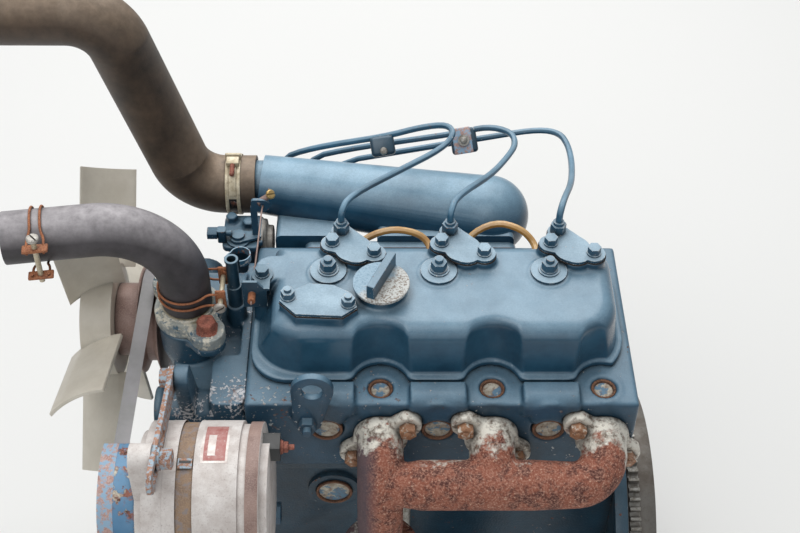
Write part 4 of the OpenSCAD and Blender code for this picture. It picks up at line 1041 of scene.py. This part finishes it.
def makeClamp(look):
    ring, out, seats = look["ring"], look["screwOut"], look["seats"]
    upper, lower = look["plates"]
    # how a wire leaves the hose and hooks round a plate: outward, and inward from the plate
    hook = [(out + 2.5, 3.5), (out - 1, -1.5), (ring * 0.9, -1.0)]
    bend = ring / math.cos(math.radians(10))
    turns = [math.radians(turn) for turn in range(50, 320, 20)]
    pieces = []
    for side in (-0.5, 0.5):
        height, spread = side * look["apart"], side * look["platesApart"]
        path = [(x, upper - inward, spread) for x, inward in hook]
        path += [(bend * math.cos(turn), bend * math.sin(turn), height) for turn in turns]
        path += [(x, lower + inward, spread) for x, inward in reversed(hook)]
        pieces.append(bentWire(path, look["wire"]))
    pieces += [seat(plate(look["plateSize"], look["plateEdge"]), (out, y, 0)) for y in (upper, lower)]
    addPart(repeated(joined(pieces), seats), "clampWires", "clampRust", "hose_clamps")
    screw = seat(roundBar(*look["screw"]), (out, upper + look["screwPast"], 0), (0, -1, 0))
    addPart(repeated(screw, seats), "clampScrews", "bandSteel", "hose_clamps")
    head = seat(slottedHead(*look["head"]), (out, upper - look["headDown"], 0), (0, -1, 0), 35)
    addPart(repeated(head, seats), "clampHeads", "castAlloy", "hose_clamps")


makeClamp(clampLook)
print("nuts and clamps modelled")

# Worm band on the air hose: two side bars, a tongue between them and the screw in its bridge
bandLook = {
    "middle": (152, 332),
    "radius": 27.8,
    "thick": 1.2,
    "from": -374.0,
    "wide": 14.0,
    "bar": 3.4,
    "lap": 0.2,
    "edge": 0.4,
    "tongue": (3.6, 0.8),
    "bridge": ((96, (12.0, 9.0, 6.0)), (84, (15.0, 3.0, 7.4))),
    "screw": [(1.8, 0), (2.3, 0.6), (2.3, 14), (1.2, 15)],
    "screwAt": (100, 2.6),
}


def makeBand(look):
    middle, radius, thick = look["middle"], look["radius"], look["thick"]
    start, wide, bar, lap = look["from"], look["wide"], look["bar"], look["lap"]
    inner = (start + bar - lap, start + wide - bar + lap)
    inset, tongueThick = look["tongue"]
    sheets = (
        (radius, thick, (start, start + bar), (0, 360)),
        (radius, thick, (start + wide - bar, start + wide), (0, 360)),
        (radius, thick * 0.8, inner, (20, 168)),
        (radius, thick * 0.8, inner, (212, 340)),
        (radius + thick, tongueThick, (start + inset, start + wide - inset), (100, 163)),
    )
    bars = [wrappedSheet(middle, *sheet) for sheet in sheets]
    for piece in bars:
        bevelEdges(piece, look["edge"])

    def onBand(turn, height):
        # a place at an angle round the hose and height over the band, and the way out there
        away, side, up = radius + thick + height, math.cos(math.radians(turn)), math.sin(math.radians(turn))
        return (start + wide / 2, middle[0] + away * side, middle[1] + away * up), (0, side, up)

    for turn, size in look["bridge"]:
        bars.append(seat(plate(size, 1.0), *onBand(turn, size[2] / 2 - 1.0)))
    addPart(joined(bars), "airBand", "bandSteel", "air_band")
    # a thin black sheet darkens the gap between the band's bars: painted shade
    gap = wrappedSheet(middle, radius, 0.3, inner, (164, 216))
    addPart(gap, "airBandGap", "blackEnamel")
    at, (_, side, up) = onBand(*look["screwAt"])
    screw = seat(turned(look["screw"], 16), at, (0, -up, side))
    addPart(screw, "airBandScrew", "boltRust", "air_band")


makeBand(bandLook)
print("air band modelled")

# Thin sheets round the alternator's axis: a blank label of frame, field and middle, the guard's
# rusty rim, and the lip and slot of the stator
sheetLook = {
    "middle": (-175, 287),
    "thick": 0.15,
    "sides": 180,
    "sheets": (
        ("labelFrame", "plateBlank", 62.0, (-367, -346), (60, 101)),
        ("labelField", "plateField", 62.15, (-365, -348), (63, 98)),
        ("labelMiddle", "plateBlank", 62.3, (-362, -356), (74, 95)),
        ("guardRim", "guardRust", 51.5, (-446.2, -434), (70, 195)),
        ("statorLip", "housingAlloy", 62.0, (-395, -385), (0, 360)),
        ("statorSlot", "strapRust", 62.05, (-384, -373), (96, 103)),
        ("statorSlotShade", "blackEnamel", 62.25, (-383, -374), (98, 100)),
    ),
}
for name, finish, radius, rows, arc in sheetLook["sheets"]:
    sheet = wrappedSheet(sheetLook["middle"], radius, sheetLook["thick"], rows, arc, sheetLook["sides"])
    addPart(sheet, name, finish)

# Studs with a washer, a nut and their own end: the terminal post on the alternator's dark block,
# and the one between the intake runners
studs = {
    "terminalPost": {
        "foot": (-308.2, -153, 325), "axis": (1, 0, 0), "slot": "weathered_alloy", "finish": "boltRust",
        "washer": [(6.0, 0), (6.0, 1.2), (5.4, 1.3), (5.4, 2.4)], "sides": 32,
        "nut": (8.0, 4.0), "nutUp": 2.4, "turn": 20, "end": (2.3, 6.0), "endUp": 5.2},
    "runnerNut": {
        "foot": (-239, 128, 300), "axis": (0, 0, 1), "slot": "blue_paint", "finish": "boltEnamel",
        "washer": [(8.0, 0), (8.0, 1.5)], "sides": 24,
        "nut": (13.0, 8.0), "nutUp": 1.5, "turn": 10, "end": (4.0, 6.0), "endUp": 9},
}


def makeStud(name, look):
    foot, axis = Vector(look["foot"]), Vector(look["axis"])
    stack = [
        seat(turned(look["washer"], look["sides"]), foot, axis),
        seat(hexagon(*look["nut"]), foot + look["nutUp"] * axis, axis, look["turn"]),
        seat(roundBar(*look["end"]), foot + look["endUp"] * axis, axis),
    ]
    addPart(joined(stack), name, look["finish"])


for name, look in studs.items():
    makeStud(name, look)

# Stop wire from the bracket's sleeve up to the lever, with its brass swivel and slotted screw
stopWire = {
    "thick": 1.5,
    "points": [
        (-337, -36, 366), (-337, -22, 365.2), (-336.6, 10, 365.4), (-336, 50, 364), (-336, 84, 361.6),
        (-335, 92, 361), (-332, 100, 364), (-330, 104, 370)],
    "screw": (4.4, 3.2),
    "screwSeat": ((-329, 96.0, 369.5), (0.6, -0.4, 0.7), 30),
    "barrel": [(2.8, 0), (2.8, 13)],
    "barrelSeat": ((-340, 92, 363.5), (0.86, 0.3, 0.42)),
}


def makeStopWire(look):
    addPart(bentWire(look["points"], look["thick"]), "stopWire", "rustTurned")
    addPart(seat(slottedHead(*look["screw"]), *look["screwSeat"]), "wireSwivel", "brass")
    addPart(seat(turned(look["barrel"], 20), *look["barrelSeat"]), "swivelBarrel", "rustTurned")


makeStopWire(stopWire)

# Open clip behind the vent pipe's mouth
clipLook = {
    "middle": (-348, 7.5), "height": 379, "radius": 8.6, "tail": [(-361, 3), (-358, 8)], "strip": (7.0, 1.0)}


def makeClip(look):
    (x, y), radius, height = look["middle"], look["radius"], look["height"]
    turns = [math.radians(turn) for turn in range(170, -100, -20)]
    path = look["tail"] + [(x + radius * math.cos(turn), y + radius * math.sin(turn)) for turn in turns]
    strip = bentStrip([(*point, height) for point in path], *look["strip"])
    addPart(strip, "ventClip", "lineEnamel")


makeClip(clipLook)

# Two clamps hold the injection lines together: a painted block, and a rusty plate on a block
lineClamps = {
    "tilt": (0, -0.707, 0.707),
    "turn": 9,
    "blocks": (
        ("paintedLineClamp", "clampEnamel", (23.0, 19.0, 10.0), 3.6, (-227, 177, 358.5)),
        ("rustyLineClamp", "guardRust", (18.0, 25.0, 4.0), 1.4, (-151, 181, 362)),
        ("rustyLineClampBack", "clampEnamel", (25.0, 24.0, 8.0), 3.0, (-149.5, 183, 360)),
    ),
    "screws": (
        ([(3.6, 0), (3.6, 1.2), (2.6, 2.6), (0.8, 3.0)], (-226, 169.4, 358.6)),
        ([(5.5, 0), (5.5, 0.8), (3.2, 1.0), (3.2, 2.6), (2.2, 3.2)], (-150, 178.6, 364.4)),
    ),
}


def makeLineClamps(look):
    for name, finish, size, edge, at in look["blocks"]:
        block = seat(plate(size, edge), at, look["tilt"], look["turn"])
        addPart(block, name, finish)
    screws = [seat(turned(profile, 20), at, look["tilt"]) for profile, at in look["screws"]]
    addPart(joined(screws), "lineClampScrews", "dullSteel")


makeLineClamps(lineClamps)
print("small parts modelled")

# Soft light like an open sky: a wide lamp above and behind, whose sheen lies on the upper
# faces, a smaller one in front, and a weak one that opens the shadows
studio = {
    "floor": "#e9e8e5",
    "floorSize": 12,
    "floorRoughness": 0.8,
    "middle": (-0.25, 0.0),
    "aimHeight": 0.2,
    "world": "#e8eef4",
    "worldStrength": 0.33,
    "lamps": {
        "sky": {"at": (-0.25, 1.5, 2.3), "size": 2.8, "power": 71.0},
        "front": {"at": (-1.0, -1.1, 2.5), "size": 1.8, "power": 24.0},
        "low": {"at": (-0.1, -2.4, 0.9), "size": 1.6, "power": 6.0},
    },
}


def makeFloor(look):
    deselect()
    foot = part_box("oil_pan")[0].z
    bpy.ops.mesh.primitive_plane_add(size=look["floorSize"], location=(*look["middle"], foot))
    floor = bpy.context.object
    floor.name = "floor"
    material, tree, _ = startMaterial("floorPaint")
    shader = addNode(tree, "ShaderNodeBsdfPrincipled", {
        "Base Color": colour(look["floor"]), "Roughness": look["floorRoughness"]})
    addNode(tree, "ShaderNodeOutputMaterial", {"Surface": shader.outputs["BSDF"]})
    floor.data.materials.append(material)
    floor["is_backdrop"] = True


def makeSky(look):
    world = bpy.data.worlds.new("studio")
    bpy.context.scene.world = world
    world.use_nodes = True
    tree = world.node_tree
    tree.nodes.clear()
    sky = addNode(tree, "ShaderNodeBackground", {
        "Color": colour(look["world"]), "Strength": look["worldStrength"]})
    addNode(tree, "ShaderNodeOutputWorld", {"Surface": sky.outputs["Background"]})


def makeLamp(name, lamp, aim):
    light = bpy.data.lights.new(name, "AREA")
    light.shape = "SQUARE"
    light.size = lamp["size"]
    light.energy = lamp["power"]
    holder = newObject(name, light)
    holder.location = lamp["at"]
    holder.rotation_euler = (aim - holder.location).to_track_quat("-Z", "Y").to_euler()


makeFloor(studio)
makeSky(studio)
for name, lamp in studio["lamps"].items():
    makeLamp(name, lamp, Vector((*studio["middle"], studio["aimHeight"])))
bpy.context.scene.view_settings.view_transform = "Standard"
print("studio made")

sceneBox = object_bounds()
boxes = {"cad": cadBox, "scene": sceneBox}
